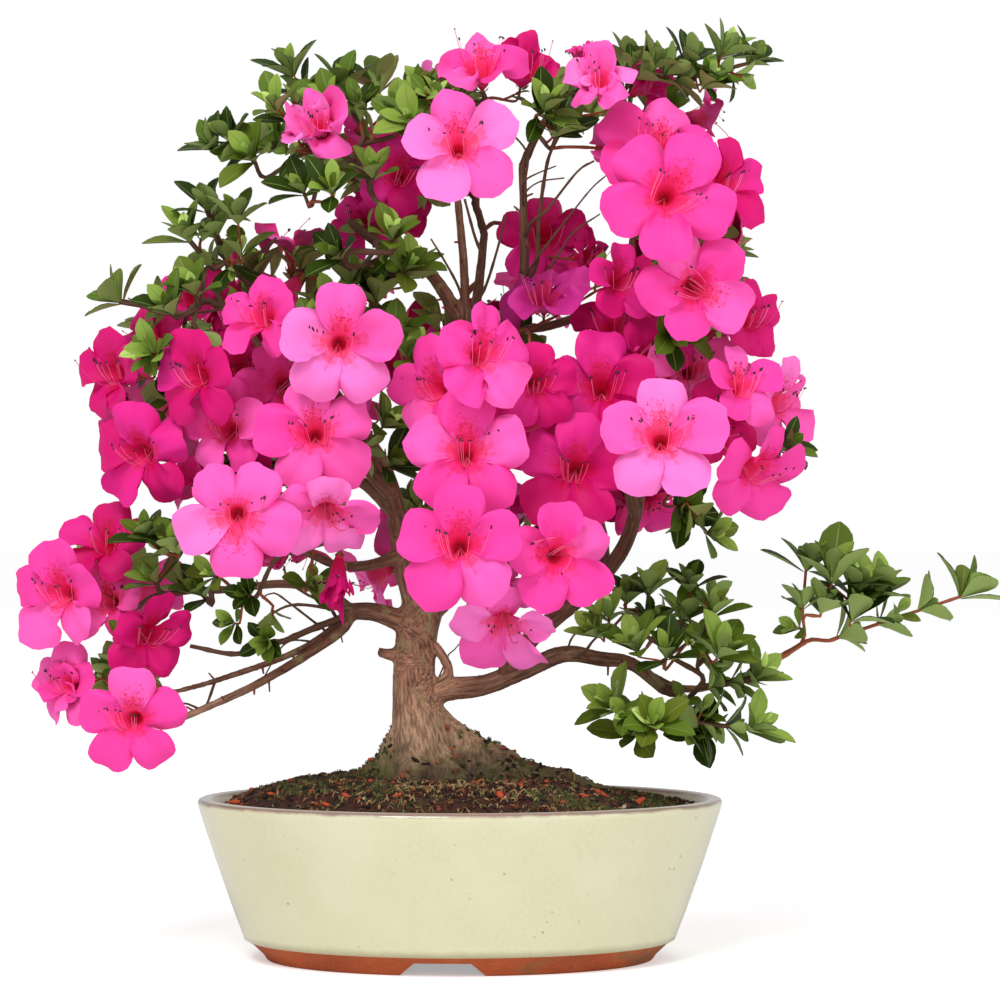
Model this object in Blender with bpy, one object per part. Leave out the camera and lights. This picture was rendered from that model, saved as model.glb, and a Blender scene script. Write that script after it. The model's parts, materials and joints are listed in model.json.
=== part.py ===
"""An azalea bonsai in full flower, in an oval glazed pot.

Metres, +Z up. The plant stands on the flat feet of its pot at z = 0, with the middle of
its whole box over the origin. Sizes below are in millimetres times MM.
"""

import math
import random

import bmesh
import bpy
import numpy as np
from mathutils import Matrix, Vector
from mathutils.bvhtree import BVHTree

MM = 0.001
CLEAR = 0.3 * MM  # the gap that touching pieces keep
FLATS = (math.radians(0.3), math.radians(0.1), None)  # faces that meet at less than this are one
SHARP = math.radians(40)  # edges that meet at more than this stay sharp
UPRIGHT = 0.9  # a direction that rises more steeply than this has no side to the sky
BLOOM_UPRIGHT = 0.95
WELD = 0.002 * MM

# The front of the plant was measured on the upright plane through the pot's middle, from
# this standing point. What lies nearer than that plane is moved along the line of sight.
STANDPOINT = Vector((20, -1760, 229)) * MM

# Pot: an oval bowl with an unglazed foot ring, open at a notch front and back
POT_SIDES = 36
POT_HEIGHT = 80.5 * MM
POT_RIM = (131 * MM, 95 * MM)  # half width and half depth over the rim
POT_GLAZE_END = (106 * MM, 76 * MM)
POT_GLAZE_END_HEIGHT = 10.5 * MM
POT_FOOT = (96.5 * MM, 68.5 * MM)
POT_FOOT_HEIGHT = 6.8 * MM
POT_WALL = 8.5 * MM
POT_FLOOR = 14 * MM  # top of the floor above the table
POT_FLOOR_INSET = 7.5 * MM  # of the inner floor's edge from the glaze's end
POT_RIM_ROUND = 2.2 * MM
NOTCH_MIDDLE = -7.6 * MM
NOTCH_TOP_WIDTH = 27.4 * MM
NOTCH_FLOOR_WIDTH = 43.7 * MM
NOTCH_HEIGHT = 6.6 * MM
NOTCH_OVERCUT = 1 * MM  # below the table

# Soil: a moss-covered mound with a flat seat for the trunk
SOIL_CLEAR = 2 * CLEAR  # from the pot's wall
SOIL_STEPS = 3  # rings from its edge to the seat
SOIL_EDGE = 75.5 * MM
SOIL_SEAT = 89.7 * MM
SOIL_SEAT_HALF = (73 * MM, 44 * MM)
SOIL_SEAT_MIDDLE = -1 * MM

# Trunk: for each ring its height, middle across and plain radius
TRUNK_SIDES = 16
TRUNK_FOOT = 90 * MM
TRUNK_RINGS = (
    (90, -17, 21),
    (97, -17.5, 18.5),
    (106, -18.5, 16.5),
    (118, -20, 14),
    (130, -22, 11.8),
    (141, -23, 10.6),
    (154, -22.5, 10.3),
    (166, -21, 10.6),
    (176, -18.5, 11.4),
    (182, -17.5, 9.5),
)
# Surface roots: bearing in degrees from +X, reach at the foot, height of the root's back
ROOTS = ((0, 80, 36), (180, 38, 26), (90, 42, 24), (248, 33, 20), (315, 37, 18))
ROOT_SPREAD = 26  # degrees to the side at which a root has faded
ROOT_DIP = 2.2  # how hollow a root's back is
ROOT_SIDE = 1.2  # how steeply its sides fall
# The cut stub on the trunk's left and the broken one on its right: radius at each end, course
STUBS = (
    (3.6, 3.4, (-24, 0, 151), (-33, -2, 151.5), (-42, -3, 151)),
    (3.2, 2.6, (-18, -3, 138), (-8, -4, 142), (-10, -4, 155)),
)
STUB_SIDES = 6

LIMB_STEP = 26 * MM  # between the rings of a limb
LIMB_SIDES = ((4.9, 8), (3.1, 6), (0, 5))  # sides of a limb over each starting radius
# Limbs: parent, radius where it leaves, radius at the tip, then its course (x, y, z).
# Each starts inside its parent and is cut clear of it.
LIMBS = {
    "leader_left": (
        "trunk", 6.5, 3.2, (-20, 0, 172), (-27, -2, 196), (-33, -2, 228), (-42, -2, 252), (-66, 2, 286),
    ),
    "leader_middle": ("trunk", 8.0, 4.4, (-14, 2, 172), (-7, 6, 200), (2, 10, 250), (4, 5, 296), (3, 0, 324)),
    "bough_low_right": (
        "trunk", 6.2, 3.0, (-20, 0, 133), (-6, 0, 134.5), (12, 0, 136.5), (32, 0, 144), (52, 0, 152),
        (70, 1, 149.5),
        (86, 2, 147), (102, 2, 134),
    ),
    "bough_right": (
        "bough_low_right", 5.0, 3.0, (22, 1, 140), (36, 4, 160), (72, 8, 191), (88, 9, 222), (92, 8, 276),
    ),
    "bough_far_right": (
        "bough_low_right", 2.4, 1.6, (88, 2, 145), (112, 12, 134), (138, 14, 138), (160, 12, 149),
    ),
    "bough_left": ("trunk", 5.4, 4.2, (-22, 0, 165), (-34, -1, 170.5), (-46, -2, 173.5), (-58, -3, 173)),
    "bough_left_high": ("bough_left", 2.9, 1.9, (-53, -2, 174), (-70, 2, 184), (-90, 4, 187), (-116, 5, 184)),
    "bough_left_middle": (
        "bough_left", 2.2, 1.4, (-54, -1, 172), (-80, 2, 154), (-118, 0, 140), (-143, -4, 133),
    ),
    "bough_left_low": (
        "bough_left", 2.8, 1.8, (-53, -4, 171), (-64, -8, 160), (-98, -14, 139), (-126, -18, 126),
        (-140, -20, 120),
    ),
    "bough_upper_left": (
        "leader_left", 3.3, 2.0, (-28, -2, 203), (-43, -13, 197), (-60, -28, 197), (-76, -42, 204),
    ),
    "bough_front_low": ("trunk", 4.0, 2.4, (-17, -2, 174), (-12, -22, 189), (-6, -46, 200)),
    "bough_front": ("leader_middle", 4.0, 2.4, (0, 8, 238), (1, -14, 250), (3, -42, 262)),
    "bough_front_left": ("leader_left", 3.5, 2.2, (-34, -2, 230), (-48, -15, 246), (-68, -38, 264)),
    "bough_front_right": ("bough_right", 3.5, 2.2, (88, 9, 220), (84, -10, 236), (80, -40, 251)),
    "bough_outer_left": (
        "leader_left", 3.0, 2.0, (-58, 1, 276), (-78, -2, 286), (-98, -5, 302), (-110, -6, 322),
    ),
    "bough_top_left": ("leader_middle", 4.2, 2.5, (3, 1, 312), (-8, -2, 333), (-20, -4, 347), (-36, -6, 353)),
    "bough_inner": ("leader_middle", 2.4, 1.8, (4, 3, 286), (16, -12, 298), (26, -20, 310)),
    "bough_top": ("leader_middle", 2.6, 1.8, (3, 0, 314), (2, -5, 345), (-1, -8, 378), (-4, -10, 402)),
    "bough_top_right": (
        "leader_middle", 3.2, 2.0, (4, 2, 308), (20, 5, 318), (31, 6, 336), (32, 5, 368), (31, 4, 397),
    ),
    "bough_right_upper": (
        "bough_top_right", 2.7, 1.9, (17, 6, 316), (40, 18, 316), (65, 16, 324), (84, 4, 336), (86, -6, 360),
    ),
    "bough_back_low": ("trunk", 4.5, 2.8, (-16, 3, 174), (-9, 32, 192), (0, 62, 204)),
    "bough_back_left": ("leader_left", 3.8, 2.4, (-32, -2, 222), (-50, 28, 238), (-76, 58, 248)),
    "bough_back_right": ("bough_right", 4.0, 2.5, (72, 8, 190), (72, 34, 210), (68, 66, 230)),
    "bough_back_upper": ("leader_middle", 4.0, 2.5, (2, 9, 264), (6, 36, 284), (8, 66, 300)),
    "bough_back_top": ("leader_middle", 3.2, 2.2, (4, 2, 304), (9, 24, 336), (12, 44, 366)),
    "bough_back_left_high": ("leader_left", 3.0, 2.0, (-48, 0, 262), (-68, 26, 290), (-86, 54, 316)),
    "bough_back_right_high": ("bough_right", 3.0, 2.0, (92, 8, 258), (100, 32, 288), (104, 52, 318)),
}

# Limbs that leave one fork side by side: the later is cut clear of the earlier.
EARLIER_AT_FORK = {
    "leader_left": ("leader_middle",),
    "bough_left": ("leader_left",),
    "bough_front_low": ("leader_middle", "leader_left"),
    "bough_back_low": ("leader_middle", "leader_left"),
    "bough_left_middle": ("bough_left_high",),
    "bough_left_low": ("bough_left_middle", "bough_left_high"),
    "bough_top": ("bough_top_left", "bough_top_right"),
    "bough_top_left": ("bough_top_right",),
    "bough_back_top": ("bough_top_right", "bough_top_left", "bough_top"),
}

# Masses of foliage: the limb each grows from, its blooms, its shoots, and what fills its
# hidden sides.
# A bloom: across, up, depth, width, then degrees of turn to the right, tilt up and roll.
# A shoot: across and up where it leaves, across and up at its tip, depth, leaf whorls.
# A fill: middle of the mass (x, y, z), its half sizes, blooms, whorls.
MASSES = {
    "foliage_top_left": (
        "bough_top_left",
        ((-71, 415, -50, 48, -20, 25, 0), (-37, 389, -28, 50, -10, 0, 20), (-50, 366, -8, 46, -20, -10, 40)),
        (
            (-72, 424, -88, 447, -28, 1), (-80, 410, -96, 431, -54, 1), (-92, 404, -131, 417, -34, 2),
            (-56, 430, -58, 447, -18, 1), (-40, 430, -42, 450, 8, 1), (-66, 380, -82, 392, -66, 1),
            (-60, 378, -66, 391, -84, 1), (-84, 392, -103, 399, -18, 1), (-44, 356, -66, 358, -56, 1),
            (-34, 352, -32, 367, -66, 1),
        ),
        ((-72, 10, 400), (52, 34, 44), 1, 3),
    ),
    "foliage_top": (
        "bough_top",
        ((12, 449, -22, 52, 0, 55, 0), (0, 406, -78, 62, 5, 8, -10), (32, 441, 10, 48, 20, 35, 0)),
        ((-14, 430, -22, 449, -26, 1), (-10, 424, -12, 443, -48, 1)),
        ((-8, 22, 428), (30, 30, 30), 1, 2),
    ),
    "foliage_top_right": (
        "bough_top_right",
        ((69, 439, -48, 42, -10, 45, 0), (57, 452, 22, 42, 10, 60, 0), (90, 441, -6, 42, 10, 20, 0)),
        (
            (38, 420, 45, 435, -42, 1), (30, 404, 36, 417, -50, 1), (76, 436, 85, 456, 6, 1),
            (92, 430, 156, 455, -12, 4),
        ),
        ((92, 30, 430), (44, 26, 26), 1, 2),
    ),
    "foliage_right_upper": (
        "bough_right_upper",
        (
            (106, 406, -40, 60, 10, 20, 20), (103, 381, -82, 66, 0, 0, 36), (139, 389, -34, 54, 60, 10, 0),
            (117, 336, -72, 60, 5, -5, 120),
        ),
        ((100, 330, 110, 312, -58, 1),),
        ((120, 20, 376), (40, 34, 40), 2, 2),
    ),
    "foliage_right": (
        "bough_right",
        (
            (145, 319, -34, 46, 45, 10, 0), (115, 294, -28, 52, 10, 10, 0), (141, 286, -64, 48, 30, 20, 0),
            (159, 279, -18, 46, 65, 0, 0), (145, 246, -58, 60, 40, -30, 0),
        ),
        ((150, 262, 172, 262, -34, 1), (107, 236, 137, 212, -30, 2)),
        ((128, 26, 270), (42, 34, 46), 2, 2),
    ),
    "foliage_front_right": (
        "bough_front_right",
        (
            (101, 259, -98, 68, 0, 5, 0), (70, 284, -44, 60, -5, 5, 0), (57, 241, -56, 64, -5, -5, 10),
            (77, 314, -20, 48, -10, 25, 0),
        ),
        (),
        None,
    ),
    "foliage_front": (
        "bough_front",
        (
            (-15, 284, -70, 60, -35, 0, -10), (12, 301, -98, 58, 35, 5, 0), (7, 254, -78, 62, 0, 5, 0),
        ),
        (),
        None,
    ),
    "foliage_front_low": (
        "bough_front_low",
        ((0, 204, -106, 66, 0, 0, 0), (50, 201, -84, 58, 15, 0, -80), (22, 166, -76, 58, 0, -45, 0)),
        (),
        None,
    ),
    "foliage_inner": (
        "bough_inner",
        ((42, 331, -26, 52, 0, 40, 0), (72, 336, -38, 44, 30, 10, 0), (38, 286, -62, 46, 10, -10, 0)),
        ((24, 318, 36, 306, -14, 1),),
        None,
    ),
    "foliage_left_inner": (
        "leader_left",
        (),
        ((-60, 312, -66, 338, -34, 1), (-40, 300, -28, 326, -30, 1), (-30, 300, -24, 312, -46, 1)),
        ((-52, 26, 316), (34, 26, 26), 1, 2),
    ),
    "foliage_outer_left": (
        "bough_outer_left",
        (
            (-135, 331, 30, 48, -10, 20, 0), (-177, 294, -12, 54, -75, 0, 0),
            (-132, 291, -42, 54, -40, -5, 0), (-157, 251, -22, 54, -30, -25, 0),
        ),
        (
            (-112, 336, -130, 390, -16, 3), (-108, 336, -110, 388, -34, 2), (-122, 320, -182, 339, -12, 3),
            (-122, 326, -136, 345, -46, 1), (-138, 312, -162, 308, -56, 1),
        ),
        ((-142, 26, 300), (34, 30, 40), 2, 2),
    ),
    "foliage_front_left": (
        "bough_front_left",
        (
            (-97, 324, -62, 56, -30, 10, 0), (-60, 306, -86, 62, 5, -8, 0), (-72, 261, -76, 62, 5, 0, -10),
            (-117, 264, -56, 54, -20, 0, 0),
        ),
        (),
        None,
    ),
    "foliage_front_left_low": (
        "bough_upper_left",
        ((-112, 221, -98, 62, 0, -5, 180), (-67, 221, -88, 58, 10, -40, 0), (-60, 194, -56, 26, 0, -80, 0)),
        ((-98, 196, -116, 178, -60, 1), (-92, 186, -98, 154, -52, 2), (-104, 204, -136, 198, -50, 1)),
        None,
    ),
    "foliage_left": (
        "bough_left_high",
        ((-187, 209, -12, 48, -20, 25, 0), (-201, 187, -40, 60, -48, -5, 0)),
        ((-140, 196, -162, 227, -30, 2), (-134, 190, -154, 208, -44, 1), (-124, 186, -140, 188, -28, 1)),
        ((-160, 28, 196), (34, 26, 24), 2, 2),
    ),
    "foliage_left_middle": (
        "bough_left_middle",
        ((-155, 161, -42, 54, 35, -15, 0),),
        ((-150, 138, -175, 141, -2, 1),),
        ((-160, 26, 146), (28, 24, 18), 1, 1),
    ),
    "foliage_left_low": (
        "bough_left_low",
        ((-195, 134, -25, 46, -50, 0, 0), (-163, 116, -60, 58, -5, -12, 0)),
        (),
        None,
    ),
    "foliage_low_right": (
        "bough_low_right",
        (),
        (
            (92, 150, 95, 200, -14, 3), (112, 146, 130, 186, -32, 3), (114, 134, 158, 150, -26, 3),
            (92, 126, 70, 130, -42, 1), (100, 116, 160, 118, -34, 4), (84, 160, 110, 176, 24, 2),
            (104, 128, 140, 130, 24, 1), (92, 118, 78, 108, -34, 1), (96, 124, 94, 118, -62, 1),
            (96, 150, 84, 166, -44, 1), (120, 120, 116, 104, -22, 1),
        ),
        None,
    ),
    "foliage_far_right": (
        "bough_far_right",
        (),
        ((166, 156, 180, 197, -6, 2), (186, 158, 206, 190, -12, 2), (186, 158, 254, 189, 6, 4)),
        None,
    ),
    "foliage_back_low": ("bough_back_low", (), (), ((2, 96, 208), (58, 36, 40), 4, 6)),
    "foliage_back_left": ("bough_back_left", (), (), ((-104, 84, 246), (46, 40, 42), 4, 6)),
    "foliage_back_right": ("bough_back_right", (), (), ((84, 98, 232), (50, 38, 40), 4, 6)),
    "foliage_back_upper": ("bough_back_upper", (), (), ((0, 104, 306), (52, 40, 42), 4, 6)),
    "foliage_back_top": (
        "bough_back_top",
        ((42, 359, 36, 56, 0, 5, 0), (70, 362, 36, 46, 60, 0, 0)),
        (),
        ((12, 68, 400), (56, 36, 38), 2, 5),
    ),
    "foliage_back_left_high": ("bough_back_left_high", (), (), ((-92, 74, 344), (48, 38, 44), 4, 6)),
    "foliage_back_right_high": ("bough_back_right_high", (), (), ((112, 78, 346), (46, 36, 44), 4, 6)),
}
CROWN_MIDDLE = Vector((0, 10, 285)) * MM  # fills turn away from this point
SEED = 7

LOBES = 5
BLOOM_DEPTH = 0.40  # of its width, from the foot of its tube to its rim
BLOOM_SKIN = 0.9 * MM
BLOOM_MIDDLE = 0.7  # share of that depth at which a row gives the bloom's place
THROAT_REACH = 0.17  # of the bloom's half width
TUBE_TOP = 0.42  # outside and inside of the tube's top, and its hollow's end, as shares of depth
THROAT_TOP = 0.48
THROAT_FLOOR = 0.25
# One lobe of a bloom's lip: degrees off its middle, reach and height as shares
LIP_OUTLINE = ((-36, 0.56, 0.80), (-19, 0.93, 1.0), (0, 1.0, 0.92), (19, 0.93, 1.0))
PLAIN_LIP_OUTLINE = ((-36, 0.56, 0.80), (-16, 0.98, 1.0), (16, 0.98, 1.0))
HIDDEN_BLOOM_WIDTH = 54 * MM
TIP_LEAVES = 5  # of the whorl that ends a shoot
SIDE_LEAVES = 4  # of the others
LEAF_LENGTH = 23 * MM
LEAF_RISE = math.radians(34)
LEAF_HALF_THICKNESS = 1.1 * MM
WHORL_LIFT = 0.5  # a whorl's middle lies this share of a leaf below its tip
# One leaf of a whorl: turn off its middle and reach as a share. The first is the notch
# halfway to the leaf before it.
NOTCH_REACH = 0.14
WHORL_OUTLINE = ((-0.34, 0.70), (0.0, 1.0), (0.34, 0.70))
SHOOT_FOOT_DEPTH = 0.6  # share of its tip's depth at which a shoot leaves
SHOOT_LIFT = Vector((0, -0.3, 0.6))  # a shoot's tip turns to the light
HIDDEN_LIFT = Vector((0, 0, 0.25))
# Growths on a mass's hidden side spread over this much of its space, out to these reaches
FILL_SPAN = 1.25
FILL_REACH = (0.78, 0.98)
FILL_BEARING = Vector((0, 0.7, 0.15))  # added to the way out of the crown
GOLDEN_TURN = math.radians(137.5)
GOLDEN_JOG = 0.3
TWIG_RADIUS = 1.15 * MM
TWIG_SOCKETS = (0.55, 0.8)
STEM_RADIUS = 1.7 * MM
STEM_TIP_RADIUS = 1.3 * MM
STEM_LEAST = 14 * MM
STEM_SOCKETS = (0.12, 0.25, 0.38, 0.51, 0.64, 0.77, 0.9)
TWIG_SIDES = 3
ROOT_RADIUS = 0.4 * MM  # where a growth starts, inside its parent
ELBOW_RADIUS = 0.8 * MM
ROOT_LENGTH = 2.2 * MM
SOCKET_SPACING = 8 * MM  # a shorter length has no room for a socket
STRAIGHT = 0.75  # a growth this square to its parent's side leaves it without an elbow
SHARP_BEND = 0.35  # a twig that bends more than this comes up from behind, over this length
APPROACH = 4 * MM
SOCKET_TRIES = 8
AHEAD_COST = 60 * MM  # what a socket that lies ahead of a growth, or looks aside, counts as
ASIDE_COST = 20 * MM
SHORTEST = 8 * MM
HUB_SHARE = 0.45  # of the way from a stem's foot to the middle of its mass
WHORL_TURN = 1.2  # the most that a shoot's first whorl is turned, in radians
# A growth that has no room is tried this much nearer or farther
NUDGES = (0, 6, -6, 12, -12, 18, -18, 24, -24, 30, -30)

BARK = ("bark", (0.20, 0.115, 0.085), 0.85)
PETAL = ("petal", (0.90, 0.055, 0.42), 0.55)
LEAF = ("leaf", (0.10, 0.22, 0.045), 0.5)
GLAZE = ("celadon_glaze", (0.70, 0.70, 0.50), 0.25)
PEAT = ("peat_and_moss", (0.085, 0.06, 0.03), 0.95)


def clear_scene():
    for obj in list(bpy.data.objects):
        bpy.data.objects.remove(obj, do_unlink=True)


def material(kind):
    name, colour, roughness = kind
    found = bpy.data.materials.get(name)
    if found:
        return found
    made = bpy.data.materials.new(name)
    made.use_nodes = True
    shader = made.node_tree.nodes["Principled BSDF"]
    shader.inputs["Base Color"].default_value = (*colour, 1)
    shader.inputs["Roughness"].default_value = roughness
    return made


def mesh_object(name, bm, kind, collection=None):
    """An object from a bmesh, in one material, shaded smooth but for its sharp edges."""
    mesh = bpy.data.meshes.new(name)
    bm.to_mesh(mesh)
    bm.free()
    mesh.materials.append(material(kind))
    mesh.shade_smooth()
    mesh.set_sharp_from_angle(angle=SHARP)
    obj = bpy.data.objects.new(name, mesh)
    (collection or bpy.context.scene.collection).objects.link(obj)
    return obj


def seen(across, up, depth):
    """The real point that shows at (across, up) on the front plane and lies at this depth."""
    on_plane = Vector((across, 0, up)) * MM
    share = (depth * MM - STANDPOINT.y) / -STANDPOINT.y
    return STANDPOINT + (on_plane - STANDPOINT) * share


def ring(bm, points):
    return [bm.verts.new(p) for p in points]


def bridge(bm, low, high):
    """Faces between two rings of the same number of points, which run anticlockwise from above."""
    count = len(low)
    for i in range(count):
        j = (i + 1) % count
        bm.faces.new((low[i], low[j], high[j], high[i]))


def oval(half, height, sides=POT_SIDES, middle=0.0):
    turns = [2 * math.pi * i / sides for i in range(sides)]
    return [(middle + half[0] * math.cos(t), half[1] * math.sin(t), height) for t in turns]


def inset(half, by):
    return (half[0] - by, half[1] - by)


def apply_boolean(obj, operation, collection):
    """Joins or cuts obj with all of a collection, applies it and removes the collection."""
    modifier = obj.modifiers.new("with_" + collection.name, "BOOLEAN")
    modifier.operation = operation
    modifier.operand_type = "COLLECTION"
    modifier.collection = collection
    modifier.solver = "EXACT"
    modifier.material_mode = "TRANSFER"
    bpy.context.view_layer.update()
    graph = bpy.context.evaluated_depsgraph_get()
    result = bpy.data.meshes.new_from_object(obj.evaluated_get(graph))
    obj.modifiers.clear()
    obj.data = result
    for other in list(collection.objects):
        bpy.data.objects.remove(other, do_unlink=True)
    bpy.data.collections.remove(collection)


def workshop(name):
    made = bpy.data.collections.new(name)
    bpy.context.scene.collection.children.link(made)
    return made


def island_volume(island):
    """Signed volume of one closed island of faces."""
    total = 0.0
    for face in island:
        corners = [v.co for v in face.verts]
        for b, c in zip(corners[1:-1], corners[2:]):
            total += corners[0].dot(b.cross(c)) / 6
    return total


def in_triangles(mesh, flat):
    """A mesh's skin in triangles, with flat areas made plain first. Its edges may fail to close."""
    bm = bmesh.new()
    bm.from_mesh(mesh)
    bmesh.ops.remove_doubles(bm, verts=bm.verts, dist=WELD)
    if flat:
        bmesh.ops.dissolve_degenerate(bm, edges=bm.edges, dist=WELD)
        bmesh.ops.dissolve_limit(bm, angle_limit=flat, verts=bm.verts, edges=bm.edges, delimit={"MATERIAL"})
    bmesh.ops.triangulate(bm, faces=bm.faces)
    return bm, all(len(edge.link_faces) == 2 for edge in bm.edges)


def keep_largest(obj):
    """Drops loose scraps and fills sealed hollows, so that one closed skin is left."""
    for flat in FLATS:
        bm, is_closed = in_triangles(obj.data, flat)
        if is_closed:
            break
    left = set(bm.faces)
    islands = []
    while left:
        todo = [left.pop()]
        island = list(todo)
        while todo:
            near = {f for e in todo.pop().edges for f in e.link_faces} & left
            left -= near
            todo += near
            island += near
        islands.append(island)
    islands.sort(key=island_volume)
    scraps = [f for island in islands[:-1] for f in island]
    bmesh.ops.delete(bm, geom=scraps, context="FACES")
    bm.to_mesh(obj.data)
    bm.free()


def make_pot():
    bm = bmesh.new()
    round_off = POT_RIM_ROUND
    outline = (
        (inset(POT_FOOT, POT_WALL), POT_FOOT_HEIGHT),
        (inset(POT_FOOT, POT_WALL), 0),
        (POT_FOOT, 0),
        (POT_GLAZE_END, POT_GLAZE_END_HEIGHT),
        (POT_RIM, POT_HEIGHT - round_off),
        (inset(POT_RIM, round_off), POT_HEIGHT),
        (inset(POT_RIM, POT_WALL - round_off), POT_HEIGHT),
        (inset(POT_RIM, POT_WALL), POT_HEIGHT - round_off),
        (inset(POT_GLAZE_END, POT_FLOOR_INSET), POT_FLOOR),
    )
    rings = [ring(bm, oval(half, height)) for half, height in outline]
    for low, high in zip(rings, rings[1:]):
        bridge(bm, low, high)
    bm.faces.new(rings[-1])
    bm.faces.new(list(reversed(rings[0])))
    pot = mesh_object("pot", bm, GLAZE)
    cutters = workshop("notches")
    reach = POT_FOOT[1] + POT_WALL
    for side in (-1, 1):
        cut_notch(side * reach, cutters)
    apply_boolean(pot, "DIFFERENCE", cutters)
    return pot


def cut_notch(reach, cutters):
    """A trapezoid bar, wider at the table, that opens the foot ring on one side."""
    bm = bmesh.new()
    start = math.copysign(POT_FOOT[1] - 2 * POT_WALL, reach)
    for y in sorted((start, reach)):
        corners = (
            (-NOTCH_FLOOR_WIDTH, -NOTCH_OVERCUT), (NOTCH_FLOOR_WIDTH, -NOTCH_OVERCUT),
            (NOTCH_TOP_WIDTH, NOTCH_HEIGHT), (-NOTCH_TOP_WIDTH, NOTCH_HEIGHT),
        )
        ring(bm, [(NOTCH_MIDDLE + width / 2, y, height) for width, height in corners])
    bm.verts.ensure_lookup_table()
    bridge(bm, bm.verts[:4], bm.verts[4:])
    bm.faces.new(list(reversed(bm.verts[:4])))
    bm.faces.new(bm.verts[4:])
    bmesh.ops.recalc_face_normals(bm, faces=bm.faces)
    mesh_object("notch", bm, GLAZE, cutters)


def make_soil():
    """Fills the pot just clear of its wall, and rises to a flat seat under the trunk."""
    bm = bmesh.new()
    wall_run = POT_RIM[0] - POT_WALL - POT_GLAZE_END[0] + POT_FLOOR_INSET
    slope = (POT_HEIGHT - POT_FLOOR) / wall_run
    at_edge = inset(POT_RIM, POT_WALL + SOIL_CLEAR + (POT_HEIGHT - POT_RIM_ROUND - SOIL_EDGE) / slope)
    at_floor = inset(POT_GLAZE_END, POT_FLOOR_INSET + SOIL_CLEAR)
    rings = [ring(bm, oval(at_floor, POT_FLOOR + CLEAR)), ring(bm, oval(at_edge, SOIL_EDGE))]
    for step in range(1, SOIL_STEPS + 1):
        share = step / SOIL_STEPS
        half = [a + (b - a) * share for a, b in zip(at_edge, SOIL_SEAT_HALF)]
        rise = math.sin(share * math.pi / 2)
        height = SOIL_EDGE + (SOIL_SEAT - SOIL_EDGE) * rise
        rings.append(ring(bm, oval(half, height, middle=SOIL_SEAT_MIDDLE * share)))
    for low, high in zip(rings, rings[1:]):
        bridge(bm, low, high)
    bm.faces.new(rings[-1])
    bm.faces.new(list(reversed(rings[0])))
    return mesh_object("soil", bm, PEAT)


def trunk_radius(plain, height, bearing):
    """The trunk's radius on one side: its plain radius, pushed out where a surface root runs."""
    radius = plain
    for root_bearing, reach, back in ROOTS:
        off = abs((math.degrees(bearing) - root_bearing + 180) % 360 - 180) / ROOT_SPREAD
        drop = max(0.0, 1 - (height * MM - TRUNK_FOOT) / (back * MM))
        push = (reach - plain) * drop**ROOT_DIP * max(0.0, 1 - off) ** ROOT_SIDE
        radius = max(radius, plain + push)
    return radius * MM


def make_trunk(grow=0.0, collection=None):
    bm = bmesh.new()
    rings = []
    for height, middle, plain in TRUNK_RINGS:
        points = []
        for i in range(TRUNK_SIDES):
            bearing = 2 * math.pi * i / TRUNK_SIDES
            radius = trunk_radius(plain, height, bearing) + grow
            x, y = radius * math.cos(bearing), radius * math.sin(bearing)
            points.append((middle * MM + x, y, height * MM))
        rings.append(ring(bm, points))
    for v in rings[-1]:
        v.co.z += grow
    for low, high in zip(rings, rings[1:]):
        bridge(bm, low, high)
    bm.faces.new(rings[-1])
    bm.faces.new(list(reversed(rings[0])))
    return mesh_object("trunk", bm, BARK, collection)


def make_stubs(collection, grow=0.0):
    for start, end, *points in STUBS:
        course = [Vector(p) * MM for p in points]
        mesh_object("stub", tube(course, start * MM + grow, end * MM + grow, STUB_SIDES), BARK, collection)


def smooth_course(points, step):
    """Points along a smooth curve through the given ones, about a step apart."""
    ends = [2 * points[0] - points[1], *points, 2 * points[-1] - points[-2]]
    course = [points[0]]
    for a, b, c, d in zip(ends, ends[1:], ends[2:], ends[3:]):
        pieces = max(1, round((c - b).length / step))
        for k in range(1, pieces + 1):
            t = k / pieces
            bend, twist = 2 * a - 5 * b + 4 * c - d, 3 * b - a - 3 * c + d
            course.append(0.5 * (2 * b + (c - a) * t + bend * t**2 + twist * t**3))
    return course


def cross_frame(direction, near=None):
    """Two unit vectors across a direction. With near, the first stays close to it."""
    if near is None:
        near = Vector((0, 0, 1)) if abs(direction.z) < UPRIGHT else Vector((1, 0, 0))
    first = (near - direction * near.dot(direction)).normalized()
    return first, direction.cross(first)


def tube(course, start_radius, end_radius, sides):
    """A closed tapering tube along a course of points."""
    bm = bmesh.new()
    rings = []
    across = None
    last = len(course) - 1
    for i, point in enumerate(course):
        direction = (course[min(i + 1, last)] - course[max(i - 1, 0)]).normalized()
        across, other = cross_frame(direction, across)
        radius = start_radius + (end_radius - start_radius) * i / last
        turns = [2 * math.pi * k / sides for k in range(sides)]
        ways = [across * math.cos(t) + other * math.sin(t) for t in turns]
        rings.append(ring(bm, [point + radius * way for way in ways]))
    for low, high in zip(rings, rings[1:]):
        bridge(bm, low, high)
    bm.faces.new(rings[-1])
    bm.faces.new(list(reversed(rings[0])))
    return bm


def limb_course(name):
    points = [Vector(p) * MM for p in LIMBS[name][3:]]
    return smooth_course(points, LIMB_STEP)


def limb_tube(name, grow=0.0):
    start, end = LIMBS[name][1:3]
    sides = next(count for over, count in LIMB_SIDES if start > over)
    widest = 1 / math.cos(math.pi / sides) if grow else 1.0
    return tube(limb_course(name), start * MM * widest + grow, end * MM * widest + grow, sides)


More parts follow.
